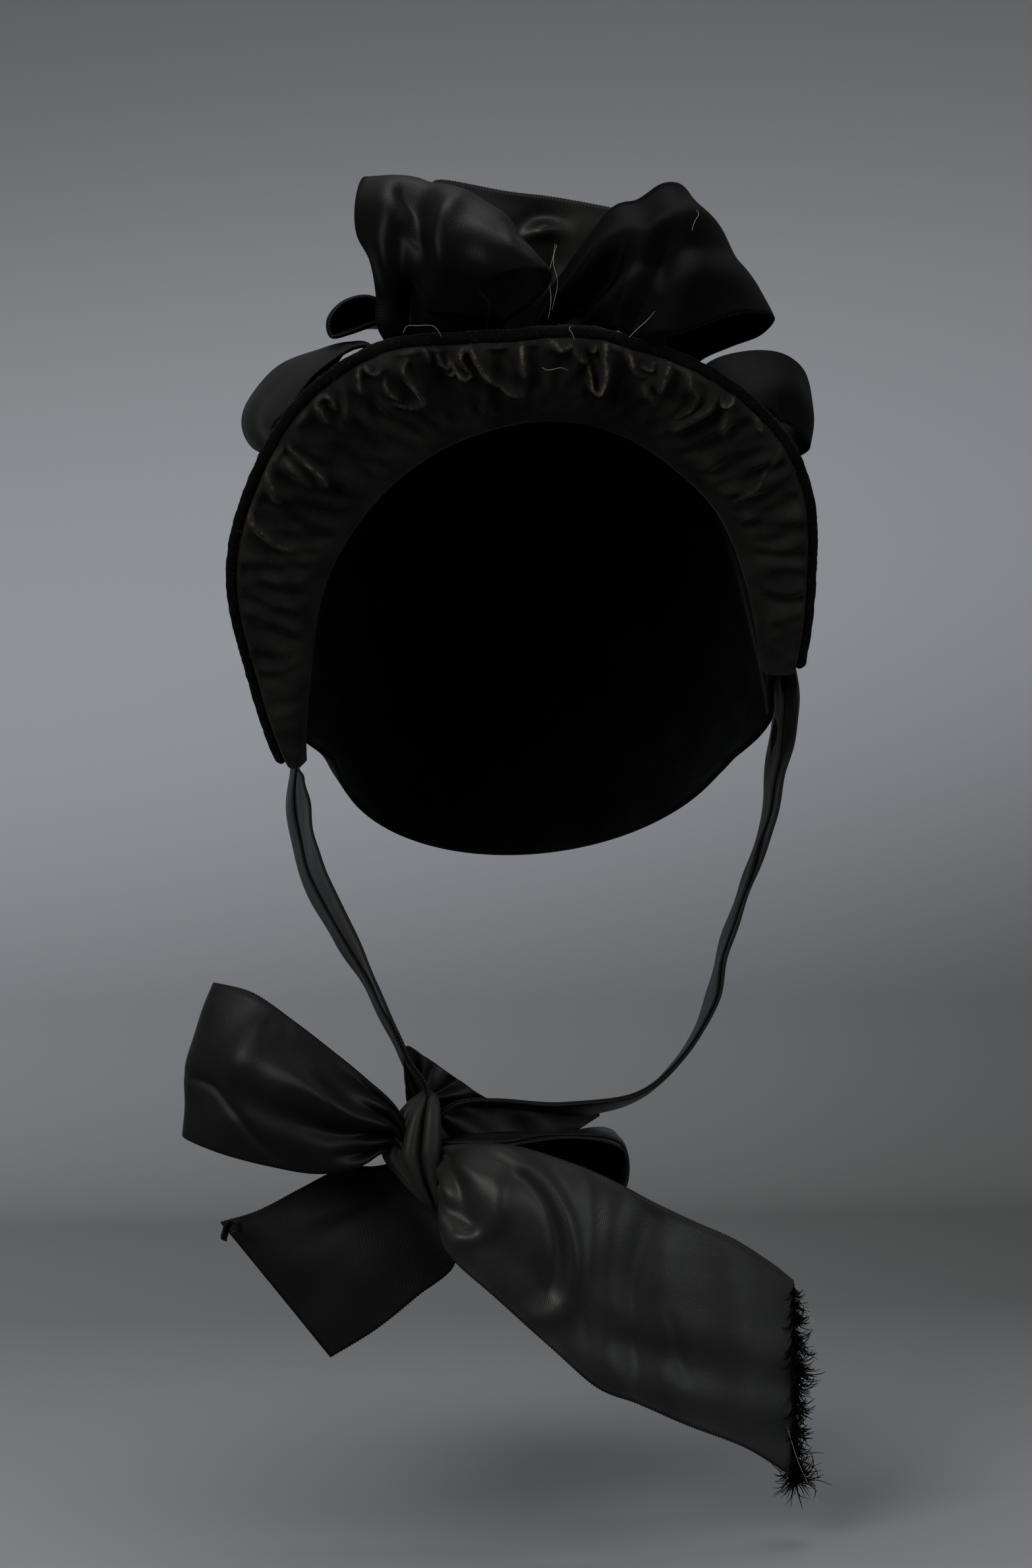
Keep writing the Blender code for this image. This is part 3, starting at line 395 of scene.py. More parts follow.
TOP_BACK_FOLDS = (
    Fold(((0.582, 0.820), (0.649, 0.869), (0.774, 0.873)), (0.0030, 0.0030), 0.0016),
    Fold(((0.615, 0.780), (0.706, 0.813), (0.739, 0.817)), (0.0022, 0.0026), -0.0030),
    Fold(((0.740, 0.772), (0.752, 0.630), (0.742, 0.540)), (0.0020, 0.0030), 0.0012),
    Fold(((0.349, 0.997), (0.561, 0.965), (0.874, 0.952)), (0.0040, 0.0040), 0.0006),
)
CHIN_LEFT_FOLDS = (
    Fold(((0.276, 0.654), (0.311, 0.787), (0.355, 0.886), (0.382, 0.928)), (0.0030, 0.0030), -0.0010),
    Fold(((0.382, 0.928), (0.401, 0.686), (0.410, 0.461), (0.391, 0.286)), (0.0035, 0.0045), 0.0018),
    Fold(((0.093, 0.307), (0.199, 0.499), (0.284, 0.706), (0.331, 0.812)), (0.0020, 0.0040), 0.0018),
    Fold(((0.115, 0.444), (0.207, 0.605), (0.268, 0.765)), (0.0016, 0.0026), -0.0014),
    Fold(((0.095, 0.069), (0.213, 0.287), (0.299, 0.429)), (0.0020, 0.0040), -0.0012),
    Fold(((0.515, 0.384), (0.450, 0.390), (0.409, 0.299), (0.353, 0.151), (0.316, 0.080)),
         (0.0012, 0.0014), -0.0010),
)
TAIL_RIGHT_FOLDS = (
    Fold(((0.076, 0.216), (0.191, 0.428), (0.247, 0.600), (0.293, 0.690)), (0.0022, 0.0030), -0.0045),
    Fold(((0.290, 0.254), (0.314, 0.388), (0.330, 0.569), (0.316, 0.719), (0.290, 0.818)),
         (0.0026, 0.0030), 0.0022),
    Fold(((0.248, 0.003), (0.314, 0.107), (0.376, 0.185), (0.437, 0.312), (0.471, 0.464),
         (0.486, 0.588), (0.491, 0.759), (0.465, 0.895)), (0.0024, 0.0036), 0.0026),
    Fold(((0.341, 0.215), (0.409, 0.322), (0.450, 0.474), (0.468, 0.651), (0.458, 0.830)),
         (0.0020, 0.0026), -0.0016),
    Fold(((0.475, 0.071), (0.511, 0.323), (0.531, 0.549), (0.561, 0.799)), (0.0040, 0.0040), -0.0012),
    Fold(((0.550, 0.040), (0.535, 0.330), (0.551, 0.545), (0.626, 0.994)), (0.0050, 0.0045), 0.0016),
    Fold(((0.613, 0.085), (0.610, 0.394), (0.653, 0.662), (0.699, 0.999)), (0.0040, 0.0040), -0.0016),
    Fold(((0.673, 0.243), (0.698, 0.539), (0.754, 0.956)), (0.0050, 0.0050), 0.0010),
    Fold(((0.710, 0.527), (0.775, 0.778)), (0.0020, 0.0020), -0.0006),
    Fold(((0.835, 0.227), (0.864, 0.505), (0.899, 0.861)), (0.0060, 0.0060), 0.0008),
)
TAIL_LEFT_FOLDS = (
    Fold(((0.411, 0.722), (0.553, 0.747), (0.658, 0.791)), (0.0025, 0.0040), 0.0010),
    Fold(((0.484, 0.663), (0.626, 0.665), (0.738, 0.697)), (0.0025, 0.0040), -0.0008),
)

# Curves through tables

def through(rows, share):
    """The smooth curve through evenly spaced rows, at each share of its length."""
    rows = np.asarray(rows, float)
    share = np.asarray(share, float)
    place = np.clip(share, 0, 1) * (len(rows) - 1)
    row = np.minimum(place.astype(int), len(rows) - 2)
    step = (place - row).reshape(place.shape + (1,) * (rows.ndim - 1))
    ends = [2 * rows[:1] - rows[1:2], rows, 2 * rows[-1:] - rows[-2:-1]]
    padded = np.concatenate(ends)
    before, here, after, beyond = (padded[row + shift] for shift in range(4))
    bend = 2 * before - 5 * here + 4 * after - beyond
    twist = 3 * here - before - 3 * after + beyond
    return here + 0.5 * ((after - before) * step + bend * step ** 2 + twist * step ** 3)


def column(rows, name):
    return [getattr(row, name) for row in rows]


def vectors(x, y, z):
    return np.stack(np.broadcast_arrays(x, y, z), axis=-1).astype(float)


def dot(first, second):
    return (first * second).sum(-1, keepdims=True)


def unit(vector):
    return vector / np.maximum(np.sqrt(dot(vector, vector)), 1e-12)


def smooth(low, high, value):
    """Eases from 0 below low to 1 above high."""
    share = np.clip((value - low) / (high - low), 0, 1)
    return share * share * (3 - 2 * share)


def waver(seed, *places):
    """A soft wandering value, about -1 to 1, over coordinates that run in steps of one wave."""
    random = np.random.default_rng(seed)
    total = 0.0
    for _ in range(6):
        turns = random.uniform(0.5, 1.7, len(places)) * random.choice((-1, 1), len(places))
        phase = random.uniform(0, 2 * pi)
        total = total + np.sin(sum(turn * place for turn, place in zip(turns, places)) * 2 * pi + phase)
    return total / 3


# The crown's bows and the brim, as in the frame

def bow_size(tilt):
    """A bow's half width and height."""
    share = (tilt - FRONT_TILT) / (NAPE_TILT - FRONT_TILT)
    half_width = CROWN_HALF_WIDTH * through(column(BOWS, "half_width"), share)
    height = CROWN_HEIGHT * through(column(BOWS, "height"), share)
    return half_width, height


def edge_share(angle):
    """Where an angle lies along the brim, from its left end to its right end."""
    return (angle - BRIM_LEFT_ANGLE) / (BRIM_RIGHT_ANGLE - BRIM_LEFT_ANGLE)


def stand_off(angle, tilt):
    """How far the front edge stands off its bow's oval, fading out behind it."""
    fade = np.clip((SHAPED_TILT - tilt) / (SHAPED_TILT - FRONT_TILT), 0, 1)
    return 1 + (through(column(FRONT_EDGE, "stand_off"), edge_share(angle)) - 1) * fade


def bow_axes(tilt):
    """A bow's own upward direction and the direction that the brim leaves it in."""
    tilt = np.asarray(tilt, float)
    upward = vectors(0 * tilt, np.sin(tilt), np.cos(tilt))
    forward = vectors(0 * tilt, -np.cos(tilt), np.sin(tilt))
    return upward, forward


def bow_outward(angle, tilt):
    half_width, height = bow_size(tilt)
    upward, _ = bow_axes(tilt)
    sideways = vectors(np.sin(angle) / half_width, 0, 0)
    return unit(sideways + upward * (np.cos(angle) / height)[..., None])


def bow_point(angle, tilt, out=0.0):
    """A point of the crown at an angle round a bow, pushed out along the bow's normal."""
    angle, tilt, out = np.broadcast_arrays(np.asarray(angle, float), tilt, out)
    half_width, height = bow_size(tilt)
    upward, _ = bow_axes(tilt)
    share = stand_off(angle, tilt)
    place = vectors(half_width * np.sin(angle) * share, 0, 0)
    place = place + upward * (height * np.cos(angle) * share)[..., None]
    return EAR_LINE + place + bow_outward(angle, tilt) * out[..., None]


def brim_width(angle):
    return BRIM_WIDTH * through(column(FRONT_EDGE, "width"), edge_share(angle))


def brim_point(angle, across, lift=0.0):
    """A point of the brim at a distance across it from the crown's seam, lifted off its inner side."""
    angle, across, lift = np.broadcast_arrays(np.asarray(angle, float), across, lift)
    tilt = np.full(angle.shape, FRONT_TILT)
    _, forward = bow_axes(tilt)
    outward = bow_outward(angle, tilt)
    along = outward * cos(BRIM_FLARE) + forward * sin(BRIM_FLARE)
    facing = forward * cos(BRIM_FLARE) - outward * sin(BRIM_FLARE)
    seam = bow_point(angle, tilt) + forward * (2 * SEAM_GAP)
    return seam + along * across[..., None] + facing * lift[..., None]


def board_width(angle):
    """The stiffened brim's width, short of the binding."""
    return brim_width(angle) - 2 * BINDING_RADIUS - SEAM_GAP


def velvet_width(angle):
    """How far the velvet reaches, which in the photo bulges past the board."""
    extra = np.interp(np.degrees(angle), column(EDGINGS, "angle"), column(EDGINGS, "extra"))
    return board_width(angle) + extra


def clear_of_crown(points, clearance):
    """Points pushed out of the crown, to a clearance off its velvet."""
    offset = points - EAR_LINE
    tilt = np.arctan2(offset[..., 1], offset[..., 2])
    covered = (tilt > FRONT_TILT) & (tilt < NAPE_TILT)
    tilt = np.where(covered, tilt, 0.0)
    half_width, height = bow_size(tilt)
    upward, _ = bow_axes(tilt)
    rise = dot(offset, upward)[..., 0]
    angle = np.arctan2(offset[..., 0] / half_width, rise / height)
    reach = np.hypot(offset[..., 0] / half_width, rise / height)
    slope = vectors(offset[..., 0] / half_width ** 2, 0, 0) + upward * (rise / height ** 2)[..., None]
    slope = slope / reach[..., None]
    distance = (reach - stand_off(angle, tilt)) / np.sqrt(dot(slope, slope))[..., 0]
    short = np.where(covered, np.maximum(CROWN_WALL + clearance - distance, 0), 0)
    return points + unit(slope) * short[..., None]


def clear_of_brim(points, clearance):
    """Points pushed back behind the brim, leaning over its rim."""
    tilt = np.full(points.shape[:-1], FRONT_TILT)
    upward, forward = bow_axes(tilt)
    offset = points - EAR_LINE
    half_width, height = bow_size(tilt)
    angle = np.arctan2(offset[..., 0] / half_width, dot(offset, upward)[..., 0] / height)
    seam = brim_point(angle, 0.0)
    rim = brim_point(angle, velvet_width(angle) + SEAM_GAP + BINDING_RADIUS, BRIM_WALL)
    spine = rim - seam
    across = (dot(points - seam, spine) / dot(spine, spine))[..., 0]
    near_rim = np.clip(np.maximum(across / RIM_SHARE - 1, 0) / (1 / RIM_SHARE - 1), 0, 1)
    keep = clearance + RIM_CLEARANCE * near_rim
    above = np.maximum(across - 1, 0) * np.sqrt(dot(spine, spine))[..., 0]
    back = forward * -cos(BRIM_FLARE) + bow_outward(angle, tilt) * sin(BRIM_FLARE)
    depth = dot(points - seam, back)[..., 0]
    return points + back * np.maximum(keep - RIM_SLOPE * above - depth, 0)[..., None]


def clear_of_bonnet(points):
    clearance = SEAM_GAP + RIBBON_WALL / 2
    return clear_of_crown(clear_of_brim(points, clearance), clearance)


def clear_of_seam(points):
    return clear_of_crown(points, SEAM_GAP + RIBBON_WALL / 2)


# Meshes

def lengths(points, axis):
    """How far each point of a grid lies along it, from the first one."""
    steps = np.sqrt((np.diff(points, axis=axis) ** 2).sum(-1))
    start = np.zeros_like(np.take(steps, [0], axis=axis))
    return np.concatenate([start, np.cumsum(steps, axis=axis)], axis=axis)


def make_mesh(name, points, faces, material, uv=None, values=None):
    """A smooth mesh from points and faces, with map places in metres and named values at its points."""
    mesh = bpy.data.meshes.new(name)
    mesh.from_pydata(points.reshape(-1, 3).tolist(), [], faces.tolist())
    if uv is not None:
        corners = np.zeros(len(mesh.loops), np.int32)
        mesh.loops.foreach_get("vertex_index", corners)
        layer = mesh.uv_layers.new(name="cloth")
        layer.data.foreach_set("uv", uv.reshape(-1, 2)[corners].astype(np.float32).ravel())
    for key, value in (values or {}).items():
        attribute = mesh.attributes.new(key, "FLOAT", "POINT")
        attribute.data.foreach_set("value", np.asarray(value, np.float32).ravel())
    mesh.shade_smooth()
    mesh.materials.append(material)
    piece = bpy.data.objects.new(name, mesh)
    bpy.context.scene.collection.objects.link(piece)
    return piece


def grid_faces(rows, columns, ring=False):
    """Faces of a grid, whose columns close into rings if asked."""
    index = np.arange(rows * columns).reshape(rows, columns)
    if ring:
        index = np.concatenate([index, index[:, :1]], axis=1)
    corners = [index[:-1, :-1], index[1:, :-1], index[1:, 1:], index[:-1, 1:]]
    return np.stack(corners, axis=-1).reshape(-1, 4)


def cloth(name, points, material, wall=CLOTH, offset=0.0, values=None):
    """A wall of cloth on a grid of points that runs along it and then across it."""
    run = lengths(points, 0).mean(1, keepdims=True) + 0 * points[..., 0]
    uv = np.stack([run, lengths(points, 1)], -1)
    piece = make_mesh(name, points, grid_faces(*points.shape[:2]), material, uv, values)
    solid = piece.modifiers.new("Wall", "SOLIDIFY")
    solid.thickness = wall
    solid.offset = offset
    return piece


def strands(name, routes, radius, material, sides=5):
    """Thin threads joined in one mesh: each route is its points and its own thickness factor."""
    points, faces, count = [], [], 0
    for route, factor in routes:
        heading = unit(np.gradient(route, axis=0))
        side = unit(np.cross(heading, np.array((0.31, 0.87, 0.39))))
        other = np.cross(heading, side)
        taper = factor * radius * np.sqrt(np.sin(np.linspace(0.12 * pi, 0.97 * pi, len(route))))
        turn = np.arange(sides) * 2 * pi / sides
        ring = side[:, None] * np.cos(turn)[:, None] + other[:, None] * np.sin(turn)[:, None]
        points.append((route[:, None] + ring * taper[:, None, None]).reshape(-1, 3))
        faces.append(grid_faces(len(route), sides, ring=True) + count)
        count += len(route) * sides
    return make_mesh(name, np.concatenate(points), np.concatenate(faces), material)


def beads(name, places, axes, sizes, material):
    """Many small round bodies joined in one mesh, each stretched along its own three axes."""
    shape = bmesh.new()
    bmesh.ops.create_icosphere(shape, subdivisions=1, radius=1.0)
    corners = np.array([vertex.co for vertex in shape.verts])
    triangles = np.array([[vertex.index for vertex in face.verts] for face in shape.faces])
    shape.free()
    points = places[:, None] + sum(
        corners[None, :, k, None] * (axes[k] * sizes[k])[:, None] for k in range(3)
    )
    faces = triangles[None] + (np.arange(len(places)) * len(corners))[:, None, None]
    return make_mesh(name, points, faces.reshape(-1, 3), material)


def dress(piece, *nodes, slot=None):
    """Seats a piece on the frame, in place of the nodes that it stands for."""
    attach(piece, "root")
    if nodes:
        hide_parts(*nodes)
    return piece


# Materials

def add(tree, kind, inputs=None, **settings):
    """A shader node with its settings, and its inputs as values or as other nodes' outputs."""
    made = tree.nodes.new(kind)
    for key, value in settings.items():
        setattr(made, key, value)
    for key, value in (inputs or {}).items():
        if isinstance(value, bpy.types.NodeSocket):
            tree.links.new(value, made.inputs[key])
        else:
            made.inputs[key].default_value = value
    return made


def calculate(tree, operation, first, second=0.0, third=0.0):
    inputs = {0: first, 1: second, 2: third}
    return add(tree, "ShaderNodeMath", inputs, operation=operation).outputs[0]


def waves(tree, place, pitch):
    return calculate(tree, "SINE", calculate(tree, "MULTIPLY", place, 2 * pi / pitch))


def noise(tree, place, scale, detail=2.0, roughness=0.5):
    inputs = {"Vector": place, "Scale": scale, "Detail": detail, "Roughness": roughness}
    return add(tree, "ShaderNodeTexNoise", inputs).outputs["Fac"]


def remap(tree, value, low, high, to_low=0.0, to_high=1.0):
    inputs = {"Value": value, "From Min": low, "From Max": high, "To Min": to_low, "To Max": to_high}
    return add(tree, "ShaderNodeMapRange", inputs).outputs["Result"]


def blend_colors(tree, share, first, second):
    inputs = {0: share, 6: first, 7: second}
    return add(tree, "ShaderNodeMix", inputs, data_type="RGBA").outputs[2]


def raised(tree, height, strength, distance, under=None):
    inputs = {"Height": height, "Strength": strength, "Distance": distance}
    if under is not None:
        inputs["Normal"] = under
    return add(tree, "ShaderNodeBump", inputs).outputs["Normal"]


def new_material(name, **sockets):
    material = bpy.data.materials.new(name)
    material.use_nodes = True
    tree = material.node_tree
    shader = tree.nodes["Principled BSDF"]
    for key, value in sockets.items():
        shader.inputs[key.replace("_", " ")].default_value = value
    return material, tree, shader


def grey(level, warm=0.0):
    """A near-black or grey that is a little warm, as the old cloth is."""
    return (level * (0.97 + warm), level, level * (0.90 - warm), 1.0)


def ribbon_material(name, level, roughness, rib=0.35, twill=0.0, dust=0.3, gloss=0.15):
    """Silk ribbon: fine ribs across it, a slanted twill where its reverse shows, a ribbed selvedge,
    faint cloudy wear and dust. Its map is in metres along and across the ribbon."""
    material, tree, shader = new_material(
        name, Specular_IOR_Level=gloss, Sheen_Weight=0.01, Sheen_Roughness=0.45, Anisotropic=0.35
    )
    place = add(tree, "ShaderNodeUVMap", uv_map="cloth").outputs["UV"]
    parts = add(tree, "ShaderNodeSeparateXYZ", {0: place})
    body = add(tree, "ShaderNodeTexCoord").outputs["Object"]
    along, across = parts.outputs["X"], parts.outputs["Y"]
    drift = calculate(tree, "MULTIPLY", noise(tree, body, 160.0, 2.0), 0.0016)
    along = calculate(tree, "ADD", along, drift)
    ribs = waves(tree, along, RIB_PITCH)
    slant = calculate(tree, "ADD", along, calculate(tree, "MULTIPLY", across, 0.6))
    twills = waves(tree, slant, TWILL_PITCH)
    edge = add(tree, "ShaderNodeAttribute", attribute_name="edge").outputs["Fac"]
    selvedge = remap(tree, edge, 0.0022, 0.0012)
    cords = waves(tree, along, SELVEDGE_PITCH)
    grain = noise(tree, body, 2600.0, 1.0)
    clouds = noise(tree, body, 55.0, 4.0, 0.6)
    wear = noise(tree, body, 14.0, 3.0)
    specks = remap(tree, noise(tree, body, 900.0, 2.0), 0.70, 0.80)
    weave = calculate(tree, "MULTIPLY", ribs, rib)
    weave = calculate(tree, "MULTIPLY_ADD", twills, twill, weave)
    weave = calculate(tree, "MULTIPLY_ADD", calculate(tree, "MULTIPLY", cords, selvedge), 2.2, weave)
    weave = calculate(tree, "MULTIPLY_ADD", grain, 2.0, weave)
    shade = remap(tree, clouds, 0.3, 0.7)
    color = blend_colors(tree, shade, grey(level * 0.72), grey(level * 1.25))
    color = blend_colors(tree, calculate(tree, "MULTIPLY", specks, dust), color, grey(level * 6, 0.05))
    dull = remap(tree, wear, 0.3, 0.7, roughness - 0.05, roughness + 0.07)
    dull = calculate(tree, "MULTIPLY_ADD", selvedge, 0.18, dull)
    creases = raised(tree, clouds, 0.12, 0.0010)
    tree.links.new(color, shader.inputs["Base Color"])
    tree.links.new(dull, shader.inputs["Roughness"])
    tree.links.new(raised(tree, weave, 0.35, 0.00006, creases), shader.inputs["Normal"])
    tangent = add(tree, "ShaderNodeTangent", direction_type="UV_MAP", uv_map="cloth")
    tree.links.new(tangent.outputs[0], shader.inputs["Tangent"])
    return material


# The brown ground that shows where the pile is rubbed away, also used as a painted highlight along the
# crests' tops
WEAR_AND_HIGHLIGHT_BROWN = (0.125, 0.104, 0.074, 1.0)


def velvet_material(name, level, worn=False, tint=(0.75, 0.9, 1.0)):
    """Silk velvet: a deep pile that only glows at grazing angles, crushed in soft clouds, and, where
    asked, painted brown along the crests' tops, partly as the ground rubbed bare and partly as a painted
    highlight."""
    material, tree, shader = new_material(
        name, Specular_IOR_Level=0.08, Roughness=0.95, Sheen_Weight=0.07, Sheen_Roughness=0.30,
        Sheen_Tint=(*tint, 1.0)
    )
    body = add(tree, "ShaderNodeTexCoord").outputs["Object"]
    clouds = noise(tree, body, 70.0, 4.0, 0.6)
    pile = noise(tree, body, 1500.0, 2.0, 0.7)
    crushed = remap(tree, clouds, 0.35, 0.7)
    color = blend_colors(tree, crushed, grey(level * 0.6, -0.05), grey(level * 1.5, 0.03))
    if worn:
        # Painted brown along the crests' tops: partly worn pile, partly a painted highlight
        crest_wear_and_highlight = add(tree, "ShaderNodeAttribute", attribute_name="worn").outputs["Fac"]
        patchy = remap(tree, noise(tree, body, 330.0, 4.0, 0.75), 0.42, 0.62, 0.08, 1.0)
        share = calculate(tree, "MULTIPLY", crest_wear_and_highlight, patchy)
        color = blend_colors(tree, share, color, WEAR_AND_HIGHLIGHT_BROWN)
    flecks = remap(tree, noise(tree, body, 1100.0, 1.0), 0.76, 0.82)
    color = blend_colors(tree, calculate(tree, "MULTIPLY", flecks, 0.35), color, grey(0.05, 0.1))
    soft = raised(tree, clouds, 0.35, 0.0015)
    tree.links.new(color, shader.inputs["Base Color"])
    tree.links.new(raised(tree, pile, 0.5, 0.0003, soft), shader.inputs["Normal"])
    return material


def thread_material(name, level, warm=0.0, roughness=0.55, sheen=0.2, gloss=0.5):
    """Spun thread, a little uneven in tone."""
    material, tree, shader = new_material(
        name, Roughness=roughness, Sheen_Weight=sheen, Specular_IOR_Level=gloss
    )
    body = add(tree, "ShaderNodeTexCoord").outputs["Object"]
    uneven = noise(tree, body, 400.0)
    color = blend_colors(tree, uneven, grey(level * 0.7, warm), grey(level * 1.3, warm))
    tree.links.new(color, shader.inputs["Base Color"])
    return material


# Crown and brim

def build_crown(material):
    """The hood, a little uneven, with its cloth eased in at the front."""
    rows, columns = 180, 120
    share = np.linspace(0, 1, columns)[None, :]
    along = np.linspace(0, 1, rows)[:, None]
    tilt = FRONT_TILT + (NAPE_TILT - FRONT_TILT) * share + 0 * along
    turn = np.clip((tilt - FRONT_TILT) / -FRONT_TILT, 0, 1)
    right = RIGHT_FRONT_ANGLE + (RIGHT_SIDE_ANGLE - RIGHT_FRONT_ANGLE) * turn
    angle = LEFT_SIDE_ANGLE + (right - LEFT_SIDE_ANGLE) * along
    easing = 0.0005 * waver(3, angle * 9, 0.4 * tilt) * (1 - smooth(0.0, 0.35, share))
    soft = 0.0006 * waver(5, angle * 1.1, tilt * 1.3)
    inset = np.clip(np.minimum(np.minimum(share, 1 - share), np.minimum(along, 1 - along)) / 0.05, 0, 1)
    out = CROWN_WALL * (0.7 + 0.3 * inset ** 0.5) + (easing + soft) * inset
    piece = cloth("crown_velvet", bow_point(angle, tilt, out), material, CROWN_WALL, -1.0)
    return dress(piece, "crown")


def build_brim(material):
    """The brim's back, in the same velvet as the crown."""
    rows, columns = 300, 16
    angle = np.linspace(BRIM_LEFT_ANGLE, BRIM_RIGHT_ANGLE, rows)[:, None]
    share = np.linspace(0, 1, columns)[None, :]
    across = (velvet_width(angle) + INTO_BINDING) * share
    bulge = 0.0004 * waver(11, angle * 7, share)
    points = brim_point(angle, across, bulge * np.sin(pi * share))
    return dress(cloth("brim_back", points, material, BRIM_WALL, 1.0), "brim")


# A crest of the ruching: places along the brim in degrees from its top and across it as shares
# from the crown's seam to the binding, then its half width, height and how strongly its top is painted
# brown, as wear and as a painted highlight
Crest = namedtuple("Crest", "route spread height worn")
CRESTS = (
    Crest(((-48.5, 0.99), (-49.8, 1.00), (-50.8, 1.00), (-52.7, 0.96), (-53.7, 0.88), (-54.7, 0.75),
         (-55.4, 0.59), (-55.5, 0.51)), 0.0012, 0.0024, 0.80),
    Crest(((-42.6, 0.96), (-44.2, 0.98), (-45.4, 0.99), (-46.6, 0.95), (-48.4, 0.86),
         (-49.5, 0.80)), 0.0010, 0.0022, 0.55),
    Crest(((-41.5, 0.93), (-42.0, 0.89), (-42.3, 0.78), (-42.5, 0.67), (-43.1, 0.57),
         (-44.5, 0.47)), 0.0012, 0.0026, 0.80),
    Crest(((-43.4, 0.91), (-44.1, 0.79), (-44.9, 0.69), (-45.5, 0.59)), 0.0014, 0.0018, 0.35),
    Crest(((-43.4, 0.56), (-45.4, 0.50)), 0.0010, 0.0014, 0.40),
    Crest(((-38.7, 0.97), (-37.8, 0.97), (-36.8, 0.98), (-36.1, 0.99)), 0.0013, 0.0016, 0.30),
    Crest(((-35.7, 0.83), (-35.3, 0.88), (-34.9, 0.92), (-34.8, 0.96), (-34.2, 0.98), (-33.2, 0.97),
         (-32.8, 0.93), (-33.4, 0.88), (-33.5, 0.84)), 0.0009, 0.0024, 0.70),
    Crest(((-31.2, 0.90), (-32.6, 0.81), (-34.2, 0.74), (-35.8, 0.68)), 0.0014, 0.0018, 0.30),
    Crest(((-29.6, 0.84), (-28.7, 0.92), (-27.6, 0.98), (-26.9, 0.99), (-26.8, 0.96), (-26.4, 0.91),
         (-25.6, 0.92)), 0.0009, 0.0028, 0.80),
    Crest(((-29.1, 1.00), (-27.8, 1.00), (-26.6, 0.99)), 0.0010, 0.0016, 0.30),
    Crest(((-26.0, 0.83), (-26.6, 0.76), (-26.6, 0.69), (-26.2, 0.61)), 0.0010, 0.0022, 0.70),
    Crest(((-27.3, 0.62), (-26.6, 0.56), (-25.3, 0.51), (-23.9, 0.52), (-23.2, 0.59), (-23.2, 0.68),
         (-23.3, 0.77), (-23.1, 0.85), (-22.0, 0.92)), 0.0009, 0.0026, 0.80),
    Crest(((-21.9, 0.97), (-21.0, 0.98), (-19.8, 0.99), (-19.4, 0.96),
         (-19.7, 0.88)), 0.0009, 0.0024, 0.60),
    Crest(((-19.3, 0.98), (-18.4, 0.98), (-17.7, 0.95)), 0.0009, 0.0016, 0.40),
    Crest(((-18.1, 0.95), (-18.2, 0.87), (-17.7, 0.82), (-16.9, 0.88)), 0.0008, 0.0024, 0.80),
    Crest(((-18.3, 0.71), (-17.4, 0.77), (-16.9, 0.82)), 0.0008, 0.0020, 0.70),
    Crest(((-7.8, 0.43), (-9.7, 0.47), (-11.5, 0.57), (-12.6, 0.69), (-13.2, 0.83), (-13.8, 0.95),
         (-14.6, 0.97), (-15.5, 0.94), (-15.5, 0.88), (-15.0, 0.79), (-15.0, 0.73), (-16.0, 0.72),
         (-16.7, 0.79), (-16.9, 0.88)), 0.0010, 0.0030, 0.90),
    Crest(((-7.1, 0.66), (-7.1, 0.78), (-7.0, 0.91), (-6.7, 0.99), (-5.9, 1.00),
         (-5.0, 0.99)), 0.0011, 0.0032, 1.00),
    Crest(((-10.8, 0.95), (-8.6, 1.00), (-7.1, 1.00)), 0.0009, 0.0014, 0.20),
    Crest(((-3.0, 0.99), (-2.1, 0.95), (-1.1, 0.92), (0.2, 0.95)), 0.0010, 0.0024, 0.90),
    Crest(((0.7, 0.91), (1.9, 0.84), (3.0, 0.78), (3.8, 0.65), (4.7, 0.53), (5.9, 0.52), (6.1, 0.63),
         (5.7, 0.79), (5.0, 0.92), (5.0, 1.00), (5.3, 1.00), (6.3, 0.99),
         (7.3, 0.99)), 0.0010, 0.0032, 1.00),
    Crest(((3.2, 0.89), (3.7, 0.94)), 0.0009, 0.0020, 0.90),
    Crest(((8.2, 0.99), (9.5, 0.90), (10.6, 0.82), (11.8, 0.79)), 0.0010, 0.0024, 0.80),
    Crest(((12.3, 0.72), (13.5, 0.65), (14.8, 0.59), (16.3, 0.51)), 0.0014, 0.0018, 0.35),
    Crest(((15.6, 0.66), (15.0, 0.80), (14.5, 0.91), (14.6, 0.98), (15.2, 1.00)), 0.0011, 0.0030, 0.95),
    Crest(((15.2, 1.00), (16.7, 0.99), (18.0, 0.95), (19.7, 0.86), (20.8, 0.83), (21.5, 0.70),
         (21.3, 0.59), (20.9, 0.51)), 0.0009, 0.0022, 0.40),
    Crest(((10.9, 0.88), (12.4, 0.90), (12.3, 0.94), (13.0, 0.97)), 0.0009, 0.0016, 0.40),
    Crest(((24.2, 0.92), (24.9, 0.90), (25.4, 0.94), (25.3, 0.99)), 0.0009, 0.0028, 1.00),
    Crest(((25.8, 0.92), (26.4, 0.82), (27.6, 0.71), (29.2, 0.61)), 0.0012, 0.0018, 0.30),
    Crest(((23.1, 0.91), (23.4, 0.82), (22.9, 0.70), (22.3, 0.57), (22.0, 0.43),
         (21.5, 0.37)), 0.0010, 0.0018, 0.35),
    Crest(((28.6, 0.99), (29.8, 0.98), (30.7, 0.96), (31.9, 0.94)), 0.0010, 0.0024, 0.90),
    Crest(((29.8, 1.00), (31.5, 1.00), (32.8, 1.00)), 0.0010, 0.0014, 0.35),
    Crest(((36.4, 0.97), (37.4, 0.90), (38.4, 0.73), (39.8, 0.57), (40.6, 0.39), (41.3, 0.19),
         (41.8, 0.09)), 0.0008, 0.0014, 0.35),
)


